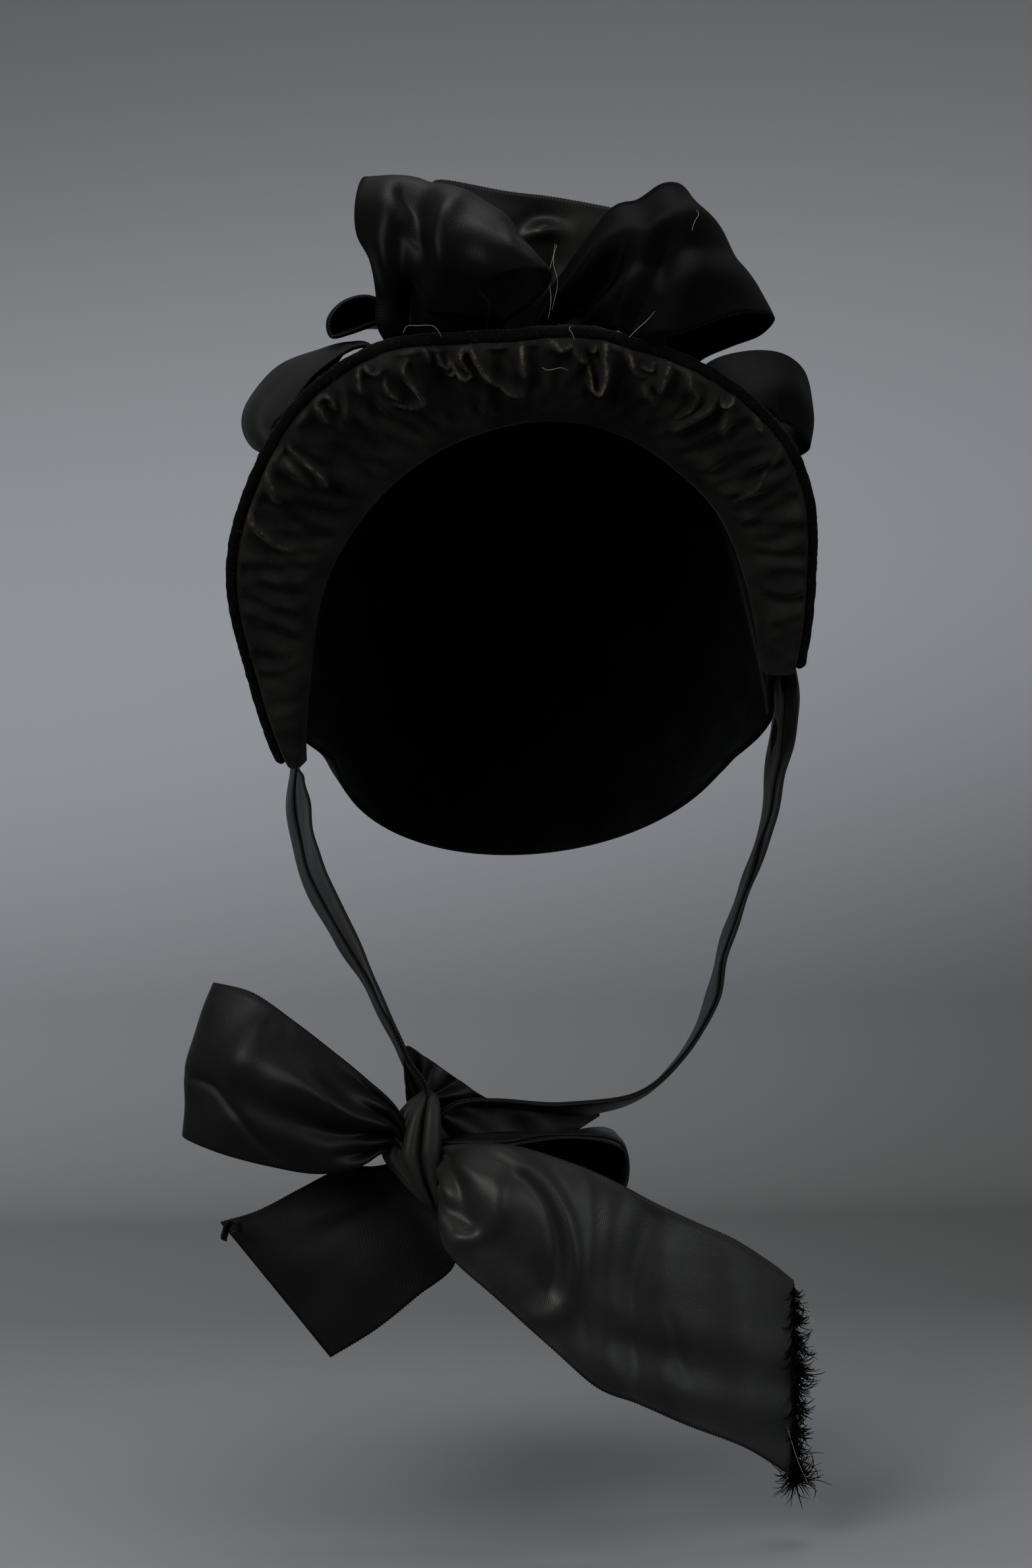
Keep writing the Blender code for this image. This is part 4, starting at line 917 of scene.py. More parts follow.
def distance_to(route, x, y):
    """How far each place lies from a line of points on the flat, and where along it the nearest is."""
    nearest, reached, run = np.full(x.shape, np.inf), np.zeros(x.shape), 0.0
    for (x0, y0), (x1, y1) in zip(route[:-1], route[1:]):
        length = np.hypot(x1 - x0, y1 - y0)
        share = np.clip(((x - x0) * (x1 - x0) + (y - y0) * (y1 - y0)) / length ** 2, 0, 1)
        far = np.hypot(x - x0 - share * (x1 - x0), y - y0 - share * (y1 - y0))
        closer = far < nearest
        nearest = np.where(closer, far, nearest)
        reached = np.where(closer, run + share * length, reached)
        run += length
    return nearest, reached / run


# How the crests taper at their ends, spread into the cloth beside them, and are painted brown on top,
# partly as wear and partly as a painted highlight
CREST_ENDS = 0.15
CREST_SKIRT = 0.30
SKIRT_SPREAD = 2.8
WEAR_AND_HIGHLIGHT_SPREAD = 0.45
WEAR_AND_HIGHLIGHT_CONTRAST = 1.2

# The loose velvet's ripples between the crests: their height, and their length along and across
# the brim. Towards each end of it they fall to a share of their height, from the second of these
# angles to the first
Ripple = namedtuple("Ripple", "seed height along across")
RIPPLES = (Ripple(21, 0.0010, 0.013, 0.05), Ripple(22, 0.0004, 0.006, 0.02))
RIPPLES_LEFT = (radians(-84), radians(-60))
RIPPLES_RIGHT = (radians(72), radians(50))
RIPPLES_AT_ENDS = 0.3


def crest_relief(angle, run, width, x, y):
    """The height, and the wear and painted highlight, that the crests give each place of the facing laid
    flat.
    """
    height, worn = np.zeros(x.shape), np.zeros(x.shape)
    for crest in CRESTS:
        degrees, shares = np.array(crest.route).T
        turns = np.radians(degrees)
        middle = np.interp(turns, angle, run[:, 0])
        out = shares * np.interp(turns, angle, width)
        steps = np.linspace(0, 1, 7 * len(turns))
        route = np.stack([through(middle, steps), through(out, steps)], -1)
        far, reached = distance_to(route, x, y)
        rise = np.sin(pi * (0.04 + 0.92 * reached)) ** 0.6
        swell = CREST_ENDS + (1 - CREST_ENDS) * rise
        skirt = CREST_SKIRT * np.exp(-(far / (SKIRT_SPREAD * crest.spread)) ** 2)
        ridge = np.exp(-(far / crest.spread) ** 2) + skirt
        height = np.maximum(height, crest.height * swell * ridge)
        # The crest's top, painted brown: partly worn pile, partly a painted highlight
        top = np.exp(-(far / (WEAR_AND_HIGHLIGHT_SPREAD * crest.spread)) ** 2)
        worn = np.maximum(worn, top * crest.worn ** WEAR_AND_HIGHLIGHT_CONTRAST * swell)
    return height, worn


def build_facing(material):
    """The ruched facing, rolled over the crown's front edge at its inner side."""
    rows, columns = ((1000, 88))
    angle = np.linspace(BRIM_LEFT_ANGLE, BRIM_RIGHT_ANGLE, rows)
    width = velvet_width(angle) + INTO_BINDING
    lift = BRIM_WALL + SEAM_GAP + FACING_WALL
    stations = np.stack([
        bow_point(angle, FRONT_TILT + 0.13, -0.0012),
        bow_point(angle, FRONT_TILT + 0.06, -0.0016),
        brim_point(angle, -0.0024 + 0 * width, lift * 0.55),
        brim_point(angle, 0.10 * width, lift + 0.7 * FACING_PUFF),
        brim_point(angle, 0.33 * width, lift + FACING_PUFF),
        brim_point(angle, 0.66 * width, lift + FACING_PUFF),
        brim_point(angle, 0.92 * width, lift + 0.7 * FACING_PUFF),
        brim_point(angle, width, lift - 0.2 * FACING_WALL),
    ])
    share = np.linspace(0, 1, columns)
    points = through(stations, share).transpose(1, 0, 2)
    seam, rim = brim_point(angle, 0.0), brim_point(angle, width)
    spine = (rim - seam)[:, None]
    across = dot(points - seam[:, None], spine)[..., 0] / dot(spine, spine)[..., 0]
    run = lengths(brim_point(angle, 0.6 * width)[:, None], 0)
    run = run - np.interp(0.0, angle, run[:, 0])
    x = run + 0 * across
    y = across * width[:, None]
    height, worn = crest_relief(angle, run, width, x, y)
    inside = smooth(1.0, 0.95, across) * smooth(0.12, 0.4, across)
    slack = sum(ripple.height * waver(ripple.seed, x / ripple.along, y / ripple.across)
                for ripple in RIPPLES)
    middle = (smooth(*RIPPLES_LEFT, angle) * smooth(*RIPPLES_RIGHT, angle))[:, None]
    loose = smooth(0.1, 0.3, across) * smooth(1.0, 0.9, across)
    loose = loose * (RIPPLES_AT_ENDS + (1 - RIPPLES_AT_ENDS) * middle)
    relief = height * inside + slack * loose
    face = unit(np.cross(np.gradient(points, axis=0), np.gradient(points, axis=1)))
    points = points + face * relief[..., None]
    uv = np.stack([x, y], -1)
    piece = make_mesh("facing_velvet", points, grid_faces(rows, columns), material, uv,
                      {"worn": worn * inside})
    return dress(piece, "brim_facing")


def build_binding(material):
    """The rolled edge, a little uneven and pinched where it is stitched."""
    rows, sides = 700, 18
    angle = np.linspace(BRIM_LEFT_ANGLE, BRIM_RIGHT_ANGLE, rows)
    middle = (BRIM_WALL + SEAM_GAP + FACING_WALL) / 2
    line = brim_point(angle, velvet_width(angle) + 2 * SEAM_GAP + BINDING_RADIUS, middle)
    heading = unit(np.gradient(line, axis=0))
    outward = unit(line - brim_point(angle, 0.0, middle))
    outward = unit(outward - heading * dot(outward, heading))
    forward = np.cross(heading, outward)
    turn = np.arange(sides) * 2 * pi / sides
    run = lengths(line[:, None], 0)
    swell = 1 + 0.05 * waver(31, run / 0.012, turn / 3 + 0 * run) + 0.03 * waver(32, run / 0.004)
    ends = np.sqrt(np.clip(np.minimum(run, run[-1] - run) / BINDING_RADIUS, 0.02, 1))
    ring = outward[:, None] * np.cos(turn)[:, None] + forward[:, None] * np.sin(turn)[:, None]
    points = line[:, None] + ring * (BINDING_RADIUS * swell * ends)[..., None]
    faces = grid_faces(rows, sides, ring=True)
    dress(make_mesh("binding_velvet", points, faces, material), "brim_binding")
    return points


# Ribbons

def tucked(points, breadth, face, fold_at_far, peek):
    """The layers of a ribbon folded lengthwise: a turn at one edge, then the part that lies behind,
    which may peek out past the front part's other edge by a share of its breadth."""
    if fold_at_far:
        points = points[:, ::-1]
    columns = points.shape[1]
    hidden = np.clip(RIBBON_WIDTH / breadth - 1, 0.3, 1 + peek)
    back = np.linspace(0, 1, columns // 2)[None, :] * hidden
    place = np.minimum(back, 1) * (columns - 1)
    low = np.minimum(place.astype(int), columns - 2)
    rows = np.arange(len(points))[:, None]
    step = (place - low)[..., None]
    behind = points[rows, low] * (1 - step) + points[rows, low + 1] * step
    side = unit(points[:, -1:] - points[:, -2:-1])
    behind = behind + side * (np.maximum(back - 1, 0) * breadth)[..., None] - face * FOLD_GAP
    edge, outward = points[:, :1], unit(points[:, :1] - points[:, 1:2])
    turn = np.linspace(0, pi, 6)[None, 1:-1, None]
    bend = edge - face * (FOLD_GAP / 2) * (1 - np.cos(turn)) + outward * (FOLD_GAP / 2) * np.sin(turn)
    return np.concatenate([points[:, ::-1], bend, behind], axis=1)


def pleat_relief(rows, pleats, along, across, eased):
    """How far the sections' puff and pleats lift the ribbon. Eased pleats are full only at its ends."""
    puff = through(column(rows, "puff"), along)[:, None] * np.sin(pi * across)
    at_foot = np.exp(-(np.minimum(along, 1 - along) / PLEAT_REACH) ** 2)
    shown = (through(column(rows, "pleat"), along) * (eased + (1 - eased) * at_foot))[:, None]
    relief = 0 * across
    for pleat in pleats:
        relief = relief + pleat.height * np.exp(-((across - pleat.at) / pleat.spread) ** 2)
    return RIBBON_WIDTH * (puff + shown * relief)


def fold_relief(fold, along, run, breadth, x, y):
    """How far one fold lifts each place of the ribbon laid flat."""
    alongs, acrosses = through(fold.route, np.linspace(0, 1, 6 * len(fold.route))).T
    middle_run = np.interp(alongs, along, run[:, 0])
    route = np.stack([middle_run, np.interp(alongs, along, breadth[:, 0]) * acrosses], -1)
    away, reached = distance_to(route, x, y)
    spread = fold.spread[0] + (fold.spread[1] - fold.spread[0]) * reached
    fade = 0.30 + 0.70 * np.sin(pi * (0.12 + 0.76 * reached))
    return fold.height * fade * np.exp(-(away / spread) ** 2)


def pinch_relief(depth, along, across, breadth):
    """How far the small pleats lift a ribbon where it is drawn narrower than it is."""
    spare = np.clip(RIBBON_WIDTH / breadth - 1, 0, 1.6)
    narrowed = spare * smooth(PINCH_STARTS, PINCH_DEEPEST, breadth / RIBBON_WIDTH)
    turns = 2 * pi * PINCH_PLEATS * across + 0.8 * np.sin(9 * along)[:, None]
    height = depth * narrowed * breadth / PINCH_PLEATS
    return height * np.sin(turns) * np.sin(pi * across) ** 0.3


def ribbon_grid(rows, pleats, folds, anchor, sizes, steps, keep_off, seed, tuck, eased, pinch):
    """The ribbon's middle surface: lofted sections, their pleats, then the folds and a soft
    unevenness. A tuck folds the rest of its width behind it, at its near or far edge."""
    near_rail = anchor + np.array(column(rows, "near")) * sizes
    far_rail = anchor + np.array(column(rows, "far")) * sizes
    along = np.linspace(0, 1, steps[0])
    across = np.linspace(0, 1, steps[1])[None, :]
    near, far = through(near_rail, along), through(far_rail, along)
    middle = (near_rail + far_rail) / 2
    ahead, behind = np.minimum(along + 0.02, 1), np.maximum(along - 0.02, 0)
    heading = through(middle, ahead) - through(middle, behind)
    face = unit(np.cross(far - near, heading))[:, None]
    lift = pleat_relief(rows, pleats, along, across, eased)
    run = lengths(((near + far) / 2)[:, None], 0)
    breadth = np.sqrt(dot(far - near, far - near))
    x, y = run + 0 * across, breadth * across
    for fold in folds:
        lift = lift + fold_relief(fold, along, run, breadth, x, y)
    lift = lift + 0.00030 * waver(seed, (x + 0.6 * y) / 0.044, (y - 0.4 * x) / 0.032)
    if pinch:
        lift = lift + pinch_relief(pinch, along, across, breadth)
    points = near[:, None] * (1 - across[..., None]) + far[:, None] * across[..., None]
    points = points + face * lift[..., None]
    if tuck:
        points = tucked(points, breadth, face, *tuck)
    points = keep_off(points) if keep_off else points
    over = lengths(points, 1)
    return points, np.minimum(over, over[:, -1:] - over)


def selvedges(name, points, material):
    """The woven edge: small cords side by side along both edges."""
    places, alongs, acrosses, outs = [], [], [], []
    for rail, inner in ((points[:, 0], points[:, 1]), (points[:, -1], points[:, -2])):
        run = lengths(rail[:, None], 0)[:, 0]
        stops = np.arange(SELVEDGE_PITCH / 2, run[-1], SELVEDGE_PITCH)
        place = np.stack([np.interp(stops, run, rail[:, k]) for k in range(3)], -1)
        inside = np.stack([np.interp(stops, run, inner[:, k]) for k in range(3)], -1)
        heading = unit(np.gradient(place, axis=0))
        outward = unit(place - inside)
        places.append(place - outward * CORD_INSET)
        alongs.append(heading)
        acrosses.append(outward)
        outs.append(unit(np.cross(heading, outward)))
    axes = [np.concatenate(group) for group in (alongs, acrosses, outs)]
    return beads(name, np.concatenate(places), axes, CORD_SIZES, material)


def build_ribbon(node, rows, anchor, sizes, look, edge_look, pleats=(), folds=(), keep_off=None):
    """One ribbon with its woven edges, on the frame's node."""
    seed = sum(ord(letter) for letter in node)
    long = RIBBON_LENGTHS[node]
    grain = GRAIN
    steps = (round(long / grain), round(RIBBON_WIDTH / grain))
    points, edge = ribbon_grid(rows, pleats, folds, anchor, sizes, steps, keep_off, seed,
                               TUCKS.get(node), EASED.get(node, 1.0), PINCHED.get(node, 0.0))
    piece = dress(cloth(node + "_ribbon", points, look, values={"edge": edge}), node)
    trim = dress(selvedges(node + "_selvedge", points, edge_look), slot=node)
    return points


def no_selvedge(points):
    """Values for cloth that shows no woven edge: every place counts as this far from one."""
    return {"edge": np.full(points.shape[:2], UNTRIMMED)}


def build_loop_shade_sheet(node, points, bend, start, end, material):
    """A sheet spanned across a loop's hollow, which stands as painted shade for the dark inside the loop
    and hides the see-through: it spans from the loop's outer half, at shares start to end along it, to
    the half that returns past the bend."""
    along = np.linspace(start, end, 40)
    share = np.linspace(0, 1, len(points))
    middle = points[:, points.shape[1] // 2]
    first = np.stack([np.interp(along, share, middle[:, k]) for k in range(3)], -1)
    second = np.stack([np.interp(2 * bend - along, share, middle[:, k]) for k in range(3)], -1)
    across = np.linspace(0, 1, 24)[None, :, None]
    layer = first[:, None] * (1 - across) + second[:, None] * across
    piece = cloth(node + "_shade_sheet", layer, material, values=no_selvedge(layer))
    return dress(piece, slot=node)


# The knot's pleats: the turn from its front and the lean over its length, in radians, then the
# spread in radians and the height
KnotPleat = namedtuple("KnotPleat", "turn lean spread height")
KNOT_PLEATS = (
    KnotPleat(-0.62, 0.5, 0.20, -0.0022), KnotPleat(0.22, 0.34, 0.13, -0.0028),
    KnotPleat(-0.20, 0.3, 0.30, 0.0010), KnotPleat(0.75, 0.2, 0.30, 0.0012),
    KnotPleat(-1.25, 0.3, 0.25, -0.0014), KnotPleat(1.45, 0.1, 0.22, -0.0014),
    KnotPleat(2.6, 0.2, 0.3, -0.0012), KnotPleat(-2.5, 0.2, 0.3, -0.0012),
)


def build_knot(material):
    """The knot: wrapped turns of ribbon pleated upright, pinched at top and foot."""
    rows, columns = 90, 144
    share = np.linspace(0, 1, rows)[:, None]
    turn = np.linspace(0, 2 * pi, columns, endpoint=False)[None, :]
    width, depth, rise, side = [through(column(KNOT_RINGS, name), share[:, 0])[:, None]
                                for name in ("width", "depth", "rise", "side")]
    front = -pi / 2
    relief = 0.0
    for pleat in KNOT_PLEATS:
        centre = front + pleat.turn + pleat.lean * (share - 0.5)
        away = (turn - centre + pi) % (2 * pi) - pi
        relief = relief + pleat.height * np.exp(-(away / pleat.spread) ** 2)
    relief = relief * np.sin(pi * share) ** 0.7
    x = KNOT_WIDTH * side + (KNOT_WIDTH / 2 * width + relief) * np.cos(turn)
    y = (KNOT_DEPTH / 2 * depth + relief) * np.sin(turn)
    points = KNOT + vectors(x, y, KNOT_LENGTH * rise)
    uv = np.stack([lengths(points, 0), lengths(points, 1)], -1)
    piece = make_mesh("knot_wrap", points, grid_faces(rows, columns, ring=True), material, uv,
                      no_selvedge(points))
    return dress(piece, "chin_knot")


# Loose ends

def curl(start, heading, length, bend, seed, steps=12):
    """A thread's route: it leaves along its heading and wanders off in a soft curl."""
    random = np.random.default_rng(seed)
    axis = unit(random.normal(size=3))
    points, place, direction = [np.array(start)], np.array(start), unit(np.array(heading, float))
    for _ in range(steps):
        turned = np.cross(axis, direction)
        direction = unit(direction + turned * bend / steps + random.normal(size=3) * 0.06)
        place = place + direction * length / steps
        points.append(place)
    return np.array(points)


# How long the frayed threads are, at shares down the cut edge
Fray = namedtuple("Fray", "share length")
FRAYS = (
    Fray(0.0, 0.0040), Fray(0.10, 0.0065), Fray(0.30, 0.0105), Fray(0.50, 0.0115), Fray(0.65, 0.0095),
    Fray(0.80, 0.0080), Fray(0.92, 0.0110), Fray(1.0, 0.0120),
)
FRAY_TUFTS = 24
FRAY_THREAD = 0.00016
FRAY_ROOT = 0.0012
CORNER_CURLS = 26


def build_fringe(cut_edge, heading, dark):
    """The frayed end: loose warp threads hanging aslant in tufts, with curls at the lower corner."""
    random = np.random.default_rng(77)
    rail = np.linspace(0, 1, len(cut_edge))
    routes = []
    for number in range(1100):
        share = random.random()
        start = np.array([np.interp(share, rail, cut_edge[:, k]) for k in range(3)])
        tuft = share * FRAY_TUFTS
        inside = abs(tuft % 1 - 0.5) * 2
        length = np.interp(share, column(FRAYS, "share"), column(FRAYS, "length"))
        length *= (1.05 - 0.40 * inside ** 1.5) * random.uniform(0.72, 1.0)
        droop = 0.95 + 0.35 * sin(int(tuft) * 2.4) + random.uniform(-0.18, 0.18)
        forward = 0.10 * sin(int(tuft) * 3.1) + random.uniform(-0.08, 0.08)
        lean = heading + np.array((0.0, forward, -droop))
        lean = lean + unit(cut_edge[-1] - cut_edge[0]) * (0.5 - tuft % 1) * 0.5
        bend = 2.2 * sin(int(tuft) * 5.1) + random.uniform(-0.6, 0.6)
        route = curl(start - heading * FRAY_ROOT, lean, length, bend, 1000 + number, 7)
        routes.append((route, random.uniform(0.8, 1.3)))
    for number in range(CORNER_CURLS):
        start = cut_edge[-1] + (cut_edge[-12] - cut_edge[-1]) * random.random()
        lean = heading + np.array((0.1, random.uniform(-0.3, 0.3), random.uniform(-0.9, 0.1)))
        bend = random.uniform(2.5, 5.5) * random.choice((-1, 1))
        length = random.uniform(0.009, 0.017)
        routes.append((curl(start, lean, length, bend, 3000 + number, 20), 0.9))
    piece = strands("frayed_threads", routes, FRAY_THREAD, dark, 4)
    return dress(piece, "tail_fringe")


# The middle of the curled scrap at the left tail's upper corner, in millimetres, and its breadth
CUT_CURL = (
    (-95.5, -84, -255.0), (-94.8, -85, -251.6), (-93.2, -87, -249.4),
    (-91.6, -88, -250.0), (-91.4, -87, -252.0), (-92.6, -86, -252.8),
)
CUT_CURL_BREADTH = np.array((0.0012, 0.0034, -0.0010))


def build_cut_curl(material):
    """A scrap of the ribbon's cut end that has curled over."""
    middle = through(np.array(CUT_CURL) / 1000, np.linspace(0, 1, 40))
    across = np.linspace(-0.5, 0.5, 9)[None, :, None]
    uneven = 0.0002 * waver(61, across * 3, np.linspace(0, 4, 40)[:, None, None])
    points = middle[:, None] + CUT_CURL_BREADTH * across + uneven
    piece = cloth("curled_cut_end", points, material, values=no_selvedge(points))
    return dress(piece, slot="tail_left")


# The web of ribbon under the chin, where both ties fan out from the knot: its upper and lower
# edges from left to right, in millimetres
CHIN_WEB = (
    ((-46.0, -80.0, -203.5), (-46.0, -80.0, -206.5)),
    ((-44.1, -79.0, -202.9), (-44.1, -79.0, -221.6)),
    ((-39.7, -77.0, -206.0), (-39.7, -77.0, -230.7)),
    ((-33.0, -74.0, -210.8), (-33.0, -74.0, -233.0)),
    ((-25.2, -70.0, -216.5), (-25.2, -70.0, -234.0)),
    ((-16.3, -65.0, -221.3), (-16.3, -65.0, -234.0)),
    ((-6.3, -60.0, -223.1), (-6.3, -60.0, -233.6)),
    ((4.8, -54.0, -224.4), (4.8, -54.0, -230.6)),
    ((13.0, -50.0, -225.5), (13.0, -50.0, -226.5)),
)


def build_chin_web(material):
    """The ties' inner layers, gathered behind the knot into long pleats that fan out under the chin."""
    rails = through(np.array(CHIN_WEB) / 1000, np.linspace(0, 1, 90))
    across = np.linspace(0, 1, 48)[None, :, None]
    points = rails[:, :1] * (1 - across) + rails[:, 1:] * across
    root = KNOT + np.array((0.002, 0.006, 0.012))
    turn = np.arctan2(points[..., 2] - root[2], points[..., 0] - root[0])
    reach = np.hypot(points[..., 2] - root[2], points[..., 0] - root[0])
    pleats = np.sin(turn * 9.0) * 0.0012 * smooth(0.0, 0.012, reach)
    pleats = pleats + 0.0005 * waver(71, turn * 2, reach / 0.03)
    points = points + np.array((0.0, -1.0, 0.0)) * pleats[..., None]
    piece = cloth("chin_web", points, material, values=no_selvedge(points))
    return dress(piece, slot="tie_right")


# Pale hairs and bits of thread that lie on the cloth, each by its points in millimetres
HAIRS = (
    ((-46.7, -91.0, -6.5), (-45.6, -91.0, -4.7), (-42.7, -91.0, -4.5),
     (-38.9, -91.0, -4.4), (-37.3, -91.0, -5.6), (-36.2, -91.0, -7.4)),
    ((15.3, -93.0, -7.2), (17.5, -93.0, -4.9), (20.4, -93.0, -2.3), (22.6, -93.0, 0.3)),
    ((31.7, -100.0, 21.3), (32.5, -100.0, 23.8), (33.6, -100.0, 25.8), (32.8, -100.0, 27.1)),
    ((61.9, -82.0, -310.7), (64.7, -82.0, -319.7), (68.1, -82.0, -327.2), (71.3, -82.0, -333.4)),
    ((65.5, -82.0, -274.5), (67.0, -82.0, -277.2), (68.5, -82.0, -280.0), (69.6, -82.0, -281.8)),
    ((-8.0, -86.0, -14.7), (-6.3, -86.0, -15.4), (-4.5, -86.0, -15.1),
     (-2.5, -86.0, -14.7), (-0.5, -86.0, -15.5)),
    ((-4.5, -92.0, 18.1), (-5.8, -92.0, 13.9), (-6.7, -92.0, 9.4),
     (-6.1, -92.0, 3.1), (-6.9, -92.0, -2.4)),
    ((-5.0, -92.0, 18.5), (-5.4, -92.0, 13.0), (-4.3, -92.0, 7.6), (-5.8, -92.0, 0.3)),
    ((-82.8, -62.0, -33.6), (-82.1, -62.0, -34.5), (-80.6, -62.0, -34.1), (-78.0, -62.0, -34.3)),
    ((-87.2, -58.0, -41.8), (-86.4, -58.0, -42.3), (-85.9, -58.0, -40.8), (-84.0, -58.0, -41.0)),
    ((-94.4, -40.0, -70.1), (-93.4, -40.0, -72.1), (-93.3, -40.0, -74.6), (-91.5, -40.0, -75.8)),
    ((-0.2, -88.0, -3.3), (-0.5, -88.0, -4.4), (0.2, -88.0, -5.3), (0.9, -88.0, -7.2)),
    ((37.0, -72.0, -10.9), (38.3, -72.0, -12.4), (39.9, -72.0, -14.0), (39.5, -72.0, -15.5)),
)


HAIR_THICKNESS = 0.00005
PILE_THICKNESS = 0.000022


def build_hairs(pale):
    routes = [(through(np.array(points) / 1000, np.linspace(0, 1, 20)), 1.0) for points in HAIRS]
    return dress(strands("pale_hairs", routes, HAIR_THICKNESS, pale), slot="brim_facing")


def build_fuzz(edge, pale):
    """Short pale pile hairs along the binding, and a few longer ones."""
    random = np.random.default_rng(91)
    routes = []
    for number in range(1600):
        ring, side = random.integers(len(edge)), random.integers(edge.shape[1])
        start, middle = edge[ring, side], edge[ring].mean(0)
        lean = unit(start - middle) + random.normal(size=3) * 0.7
        length = random.uniform(0.0004, 0.0011) * (3.0 if number % 40 == 0 else 1.0)
        route = curl(start, lean, length, random.uniform(-2, 2), 5000 + number, 4)
        routes.append((route, random.uniform(0.6, 1.0)))
    return dress(strands("pile_fuzz", routes, PILE_THICKNESS, pale, 3), slot="brim_binding")


# Stage, lights and camera

FLOOR = -0.344
FLOOR_FRONT = -1.6
FLOOR_SIDES = (-2.6, 2.6)
BACKDROP_PLACE = 0.62
BACKDROP_BEND = 0.10
BACKDROP_TOP = 0.60
BACKDROP_SIDES = (-0.42, 0.54)

# The painted pool of light on the backdrop: its middle, how it slants, and how far it reaches each way
GLOW_X, GLOW_Z = -0.22, -0.09
GLOW_SLANT = -0.14
GLOW_OVER, GLOW_UNDER, GLOW_ASIDE = 0.25, 0.21, 1.05
PAPER_DARK = (0.074, 0.074, 0.071, 1.0)
PAPER_LIT = (0.315, 0.325, 0.360, 1.0)

SoftLight = namedtuple("SoftLight", "name place target size power color")
SOFT_LIGHTS = (
    SoftLight("key_softbox", (-1.1, -1.3, 0.7), (0, 0, -0.1), (0.9, 0.9), 26, (1.0, 0.99, 0.97)),
    SoftLight("fill_softbox", (1.3, -1.0, 0.2), (0, 0, -0.1), (0.8, 1.0), 9, (0.96, 0.98, 1.0)),
    SoftLight("top_softbox", (0.0, 0.1, 1.3), (0, 0, 0), (0.9, 0.6), 12, (1.0, 1.0, 1.0)),
)
WORLD_COLOR = (0.80, 0.82, 0.85, 1.0)
WORLD_STRENGTH = 0.35

CAMERA_PLACE = (-0.09698, -0.8646, -0.130)
CAMERA_TURN = radians(6)
CAMERA_LENS = 65
CAMERA_SENSOR = 36


def paper_material():
    """Pale paper with painted light: a painted pool of light behind the bonnet, and the floor painted
    lighter before it.
    """
    material, tree, shader = new_material("studio_paper", Roughness=0.9, Specular_IOR_Level=0.1)
    body = add(tree, "ShaderNodeTexCoord").outputs["Object"]
    parts = add(tree, "ShaderNodeSeparateXYZ", {0: body})
    sideways = calculate(tree, "SUBTRACT", parts.outputs["X"], GLOW_X)
    rise = calculate(tree, "ADD", parts.outputs["Z"], -GLOW_Z)
    rise = calculate(tree, "MULTIPLY_ADD", sideways, GLOW_SLANT, rise)
    over = calculate(tree, "DIVIDE", calculate(tree, "MAXIMUM", rise, 0.0), GLOW_OVER)
    under = calculate(tree, "DIVIDE", calculate(tree, "MINIMUM", rise, 0.0), GLOW_UNDER)
    upright = calculate(tree, "ADD", over, under)
    level = calculate(tree, "DIVIDE", sideways, GLOW_ASIDE)
    away = calculate(tree, "MULTIPLY_ADD", level, level, calculate(tree, "MULTIPLY", upright, upright))
    glow = calculate(tree, "EXPONENT", calculate(tree, "MULTIPLY", away, -1.0))
    # Painted light: the floor is painted lighter towards the front
    near = remap(tree, parts.outputs["Y"], 0.28, -0.12, 0.0, 0.34)
    glow = calculate(tree, "ADD", glow, near)
    tree.links.new(blend_colors(tree, glow, PAPER_DARK, PAPER_LIT), shader.inputs["Base Color"])
    return material


def build_stage():
    """A floor that sweeps up into a backdrop just wide enough for the photo's view, so that the
    part can also be seen from behind, past its sides."""
    foot, bend = BACKDROP_PLACE - BACKDROP_BEND, BACKDROP_BEND
    profile = [(FLOOR_FRONT, FLOOR), (foot, FLOOR)]
    on_floor = len(profile)
    for step in range(1, 12):
        turn = pi / 2 * step / 12
        profile.append((foot + bend * sin(turn), FLOOR + bend - bend * cos(turn)))
    profile += [(BACKDROP_PLACE, FLOOR + bend), (BACKDROP_PLACE, BACKDROP_TOP)]
    points = np.array([[(x, y, z) for x in (FLOOR_SIDES if row < on_floor else BACKDROP_SIDES)]
                       for row, (y, z) in enumerate(profile)])
    stage = make_mesh("backdrop", points, grid_faces(*points.shape[:2]), paper_material())


def build_lights():
    for light in SOFT_LIGHTS:
        lamp = bpy.data.lights.new(light.name, "AREA")
        lamp.shape = "RECTANGLE"
        lamp.size, lamp.size_y = light.size
        lamp.energy = light.power
        lamp.color = light.color
        item = bpy.data.objects.new(light.name, lamp)
        item.location = light.place
        toward = Vector(light.target) - Vector(light.place)
        item.rotation_euler = toward.to_track_quat("-Z", "Y").to_euler()
        bpy.context.scene.collection.objects.link(item)
    world = bpy.data.worlds.new("studio")
    world.use_nodes = True
    background = world.node_tree.nodes["Background"]
    background.inputs["Color"].default_value = WORLD_COLOR
    background.inputs["Strength"].default_value = WORLD_STRENGTH
    bpy.context.scene.world = world


def build_camera():
    """The photograph's view: level, from the left of the middle, a short telephoto."""
    camera = bpy.data.cameras.new("camera")
    camera.lens = CAMERA_LENS
    camera.sensor_width = CAMERA_SENSOR
    item = bpy.data.objects.new("camera", camera)
    item.location = CAMERA_PLACE
    toward = Vector((sin(CAMERA_TURN), cos(CAMERA_TURN), 0))
    item.rotation_euler = toward.to_track_quat("-Z", "Y").to_euler()
    bpy.context.scene.collection.objects.link(item)
    bpy.context.scene.camera = item


# The whole

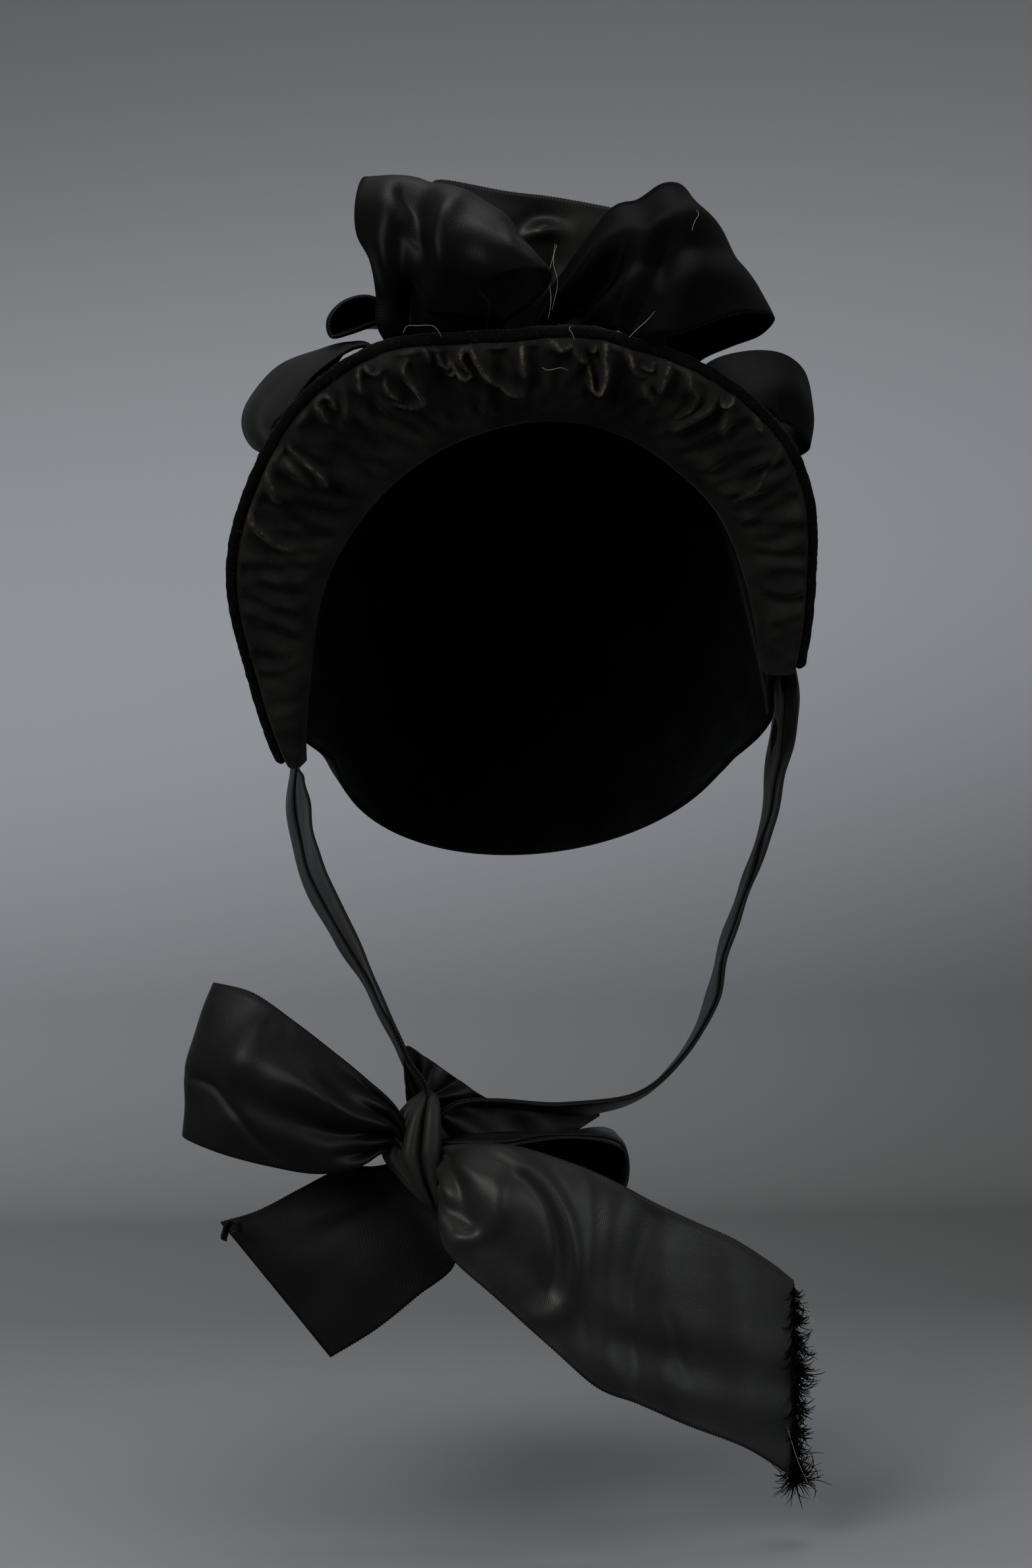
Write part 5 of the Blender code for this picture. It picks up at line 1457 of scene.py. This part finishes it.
def build_ribbons():
    """The loops, the ties and the bow, each on the anchor and the sizes that its solid has, then the
    small pieces of cloth and thread that belong to them."""
    satin = ribbon_material("ribbon_satin", 0.0035, 0.48, gloss=0.17)
    matte = ribbon_material("ribbon_reverse", 0.0030, 0.58, rib=0.8, twill=0.5)
    # The next three are copies of the satin that differ only in level and gloss: painted shade on the
    # upper left loop, stronger painted shade on the top right and side right loops, and painted light on
    # the back band and the right tail
    soft = ribbon_material("ribbon_painted_half_shade", 0.0022, 0.48, gloss=0.08)
    shade = ribbon_material("ribbon_painted_shade", 0.0011, 0.55, gloss=0.03)
    painted_light_satin = ribbon_material("ribbon_painted_light", 0.0100, 0.46, gloss=0.25)
    cord = thread_material("selvedge_cord", 0.004, roughness=0.55, sheen=0.04, gloss=0.25)

    perch = brim_point(0.0, brim_width(0.0))
    left_perch = brim_point(LEFT_LOOP_ANGLE, brim_width(LEFT_LOOP_ANGLE))
    right_perch = brim_point(RIGHT_LOOP_ANGLE, brim_width(RIGHT_LOOP_ANGLE))
    top_sizes = np.array((TOP_LOOP_REACH, RIBBON_WIDTH, TOP_LOOP_RISE))
    left_sizes = np.array((LEFT_LOOP_REACH, RIBBON_WIDTH, LEFT_LOOP_RISE))
    right_sizes = np.array((RIGHT_LOOP_REACH, RIBBON_WIDTH, RIGHT_LOOP_RISE))
    build_ribbon("top_loop_left", TOP_LEFT_LOOP, perch, top_sizes, soft, cord,
                 TOP_LEFT_PLEATS, TOP_LEFT_FOLDS, clear_of_bonnet)
    right = build_ribbon("top_loop_right", TOP_RIGHT_LOOP, perch, top_sizes, shade, cord,
                         TOP_RIGHT_PLEATS, TOP_RIGHT_FOLDS, clear_of_bonnet)
    build_ribbon("top_loop_back", TOP_BACK_BAND, perch, top_sizes, painted_light_satin, cord,
                 folds=TOP_BACK_FOLDS, keep_off=clear_of_bonnet)
    upper = build_ribbon("side_loop_left_upper", UPPER_LEFT_LOOP, perch, top_sizes, satin, cord,
                         keep_off=clear_of_bonnet)
    side = build_ribbon("side_loop_left", SIDE_LEFT_LOOP, left_perch, left_sizes, matte, cord,
                        keep_off=clear_of_bonnet)
    build_ribbon("side_loop_right", SIDE_RIGHT_LOOP, right_perch, right_sizes, shade, cord,
                 keep_off=clear_of_bonnet)

    left_end = brim_point(BRIM_LEFT_ANGLE, 0.0)
    right_end = bow_point(RIGHT_TIE_ANGLE, 0.0, CROWN_WALL)
    build_ribbon("tie_left", LEFT_TIE, left_end, KNOT - left_end, satin, cord)
    build_ribbon("tie_right", RIGHT_TIE, right_end, KNOT - right_end, satin, cord,
                 keep_off=clear_of_seam)

    long_sizes = np.array((CHIN_LOOP_REACH, RIBBON_WIDTH, CHIN_LOOP_RISE))
    short_sizes = np.array((SHORT_LOOP_REACH, RIBBON_WIDTH, CHIN_LOOP_RISE))
    left_tail_sizes = np.array((LEFT_TAIL_REACH, RIBBON_WIDTH, LEFT_TAIL_DROP))
    right_tail_sizes = np.array((RIGHT_TAIL_REACH, RIBBON_WIDTH, RIGHT_TAIL_DROP))
    build_ribbon("chin_loop_left", CHIN_LEFT_LOOP, KNOT, long_sizes, satin, cord,
                 CHIN_LEFT_PLEATS, CHIN_LEFT_FOLDS)
    short = build_ribbon("chin_loop_right", CHIN_RIGHT_LOOP, KNOT, short_sizes, satin, cord)
    build_ribbon("tail_left", LEFT_TAIL, KNOT, left_tail_sizes, matte, cord,
                 folds=TAIL_LEFT_FOLDS)
    tail = build_ribbon("tail_right", RIGHT_TAIL, KNOT, right_tail_sizes, painted_light_satin, cord,
                        RIGHT_TAIL_PLEATS, TAIL_RIGHT_FOLDS)
    # The knot's satin is a much lighter copy: painted light on the knot
    build_knot(ribbon_material("knot_satin", 0.0180, 0.48, rib=0.6))
    heading = unit(unit(tail[-1] - tail[-6]).mean(0))
    frayed = thread_material("frayed_ends", 0.0008, roughness=0.8, sheen=0.02, gloss=0.05)
    build_fringe(tail[-1], heading, frayed)

    bend = float(right[:, 0, 0].argmax()) / len(right)
    # Sheets across four loops' hollows: painted shade where the loops' insides are dark
    build_loop_shade_sheet("side_loop_left_upper", upper, 0.65, 0.30, 0.62, matte)
    build_loop_shade_sheet("side_loop_left", side, 0.53, 0.26, 0.43, matte)
    build_loop_shade_sheet("top_loop_right", right, bend, bend - 0.24, bend - 0.03, matte)
    build_loop_shade_sheet("chin_loop_right", short, 0.48, 0.14, 0.44, matte)
    build_cut_curl(satin)
    build_chin_web(satin)


velvet = velvet_material("black_velvet", 0.0034)
build_crown(velvet)
build_brim(velvet)
# The facing's velvet is a lighter copy of the crown's: its higher level paints light into the brim's
# shaded underside
build_facing(velvet_material("facing_velvet_worn_and_painted_light", 0.0120, worn=True, tint=(1.0, 0.95, 0.78)))
rolled_edge = build_binding(velvet_material("binding_pile", 0.0028, tint=(0.55, 0.72, 1.0)))
build_ribbons()
build_hairs(thread_material("pale_hair", 0.28, warm=0.06))
build_fuzz(rolled_edge, thread_material("pile_hair", 0.03))
build_stage()
build_lights()
build_camera()
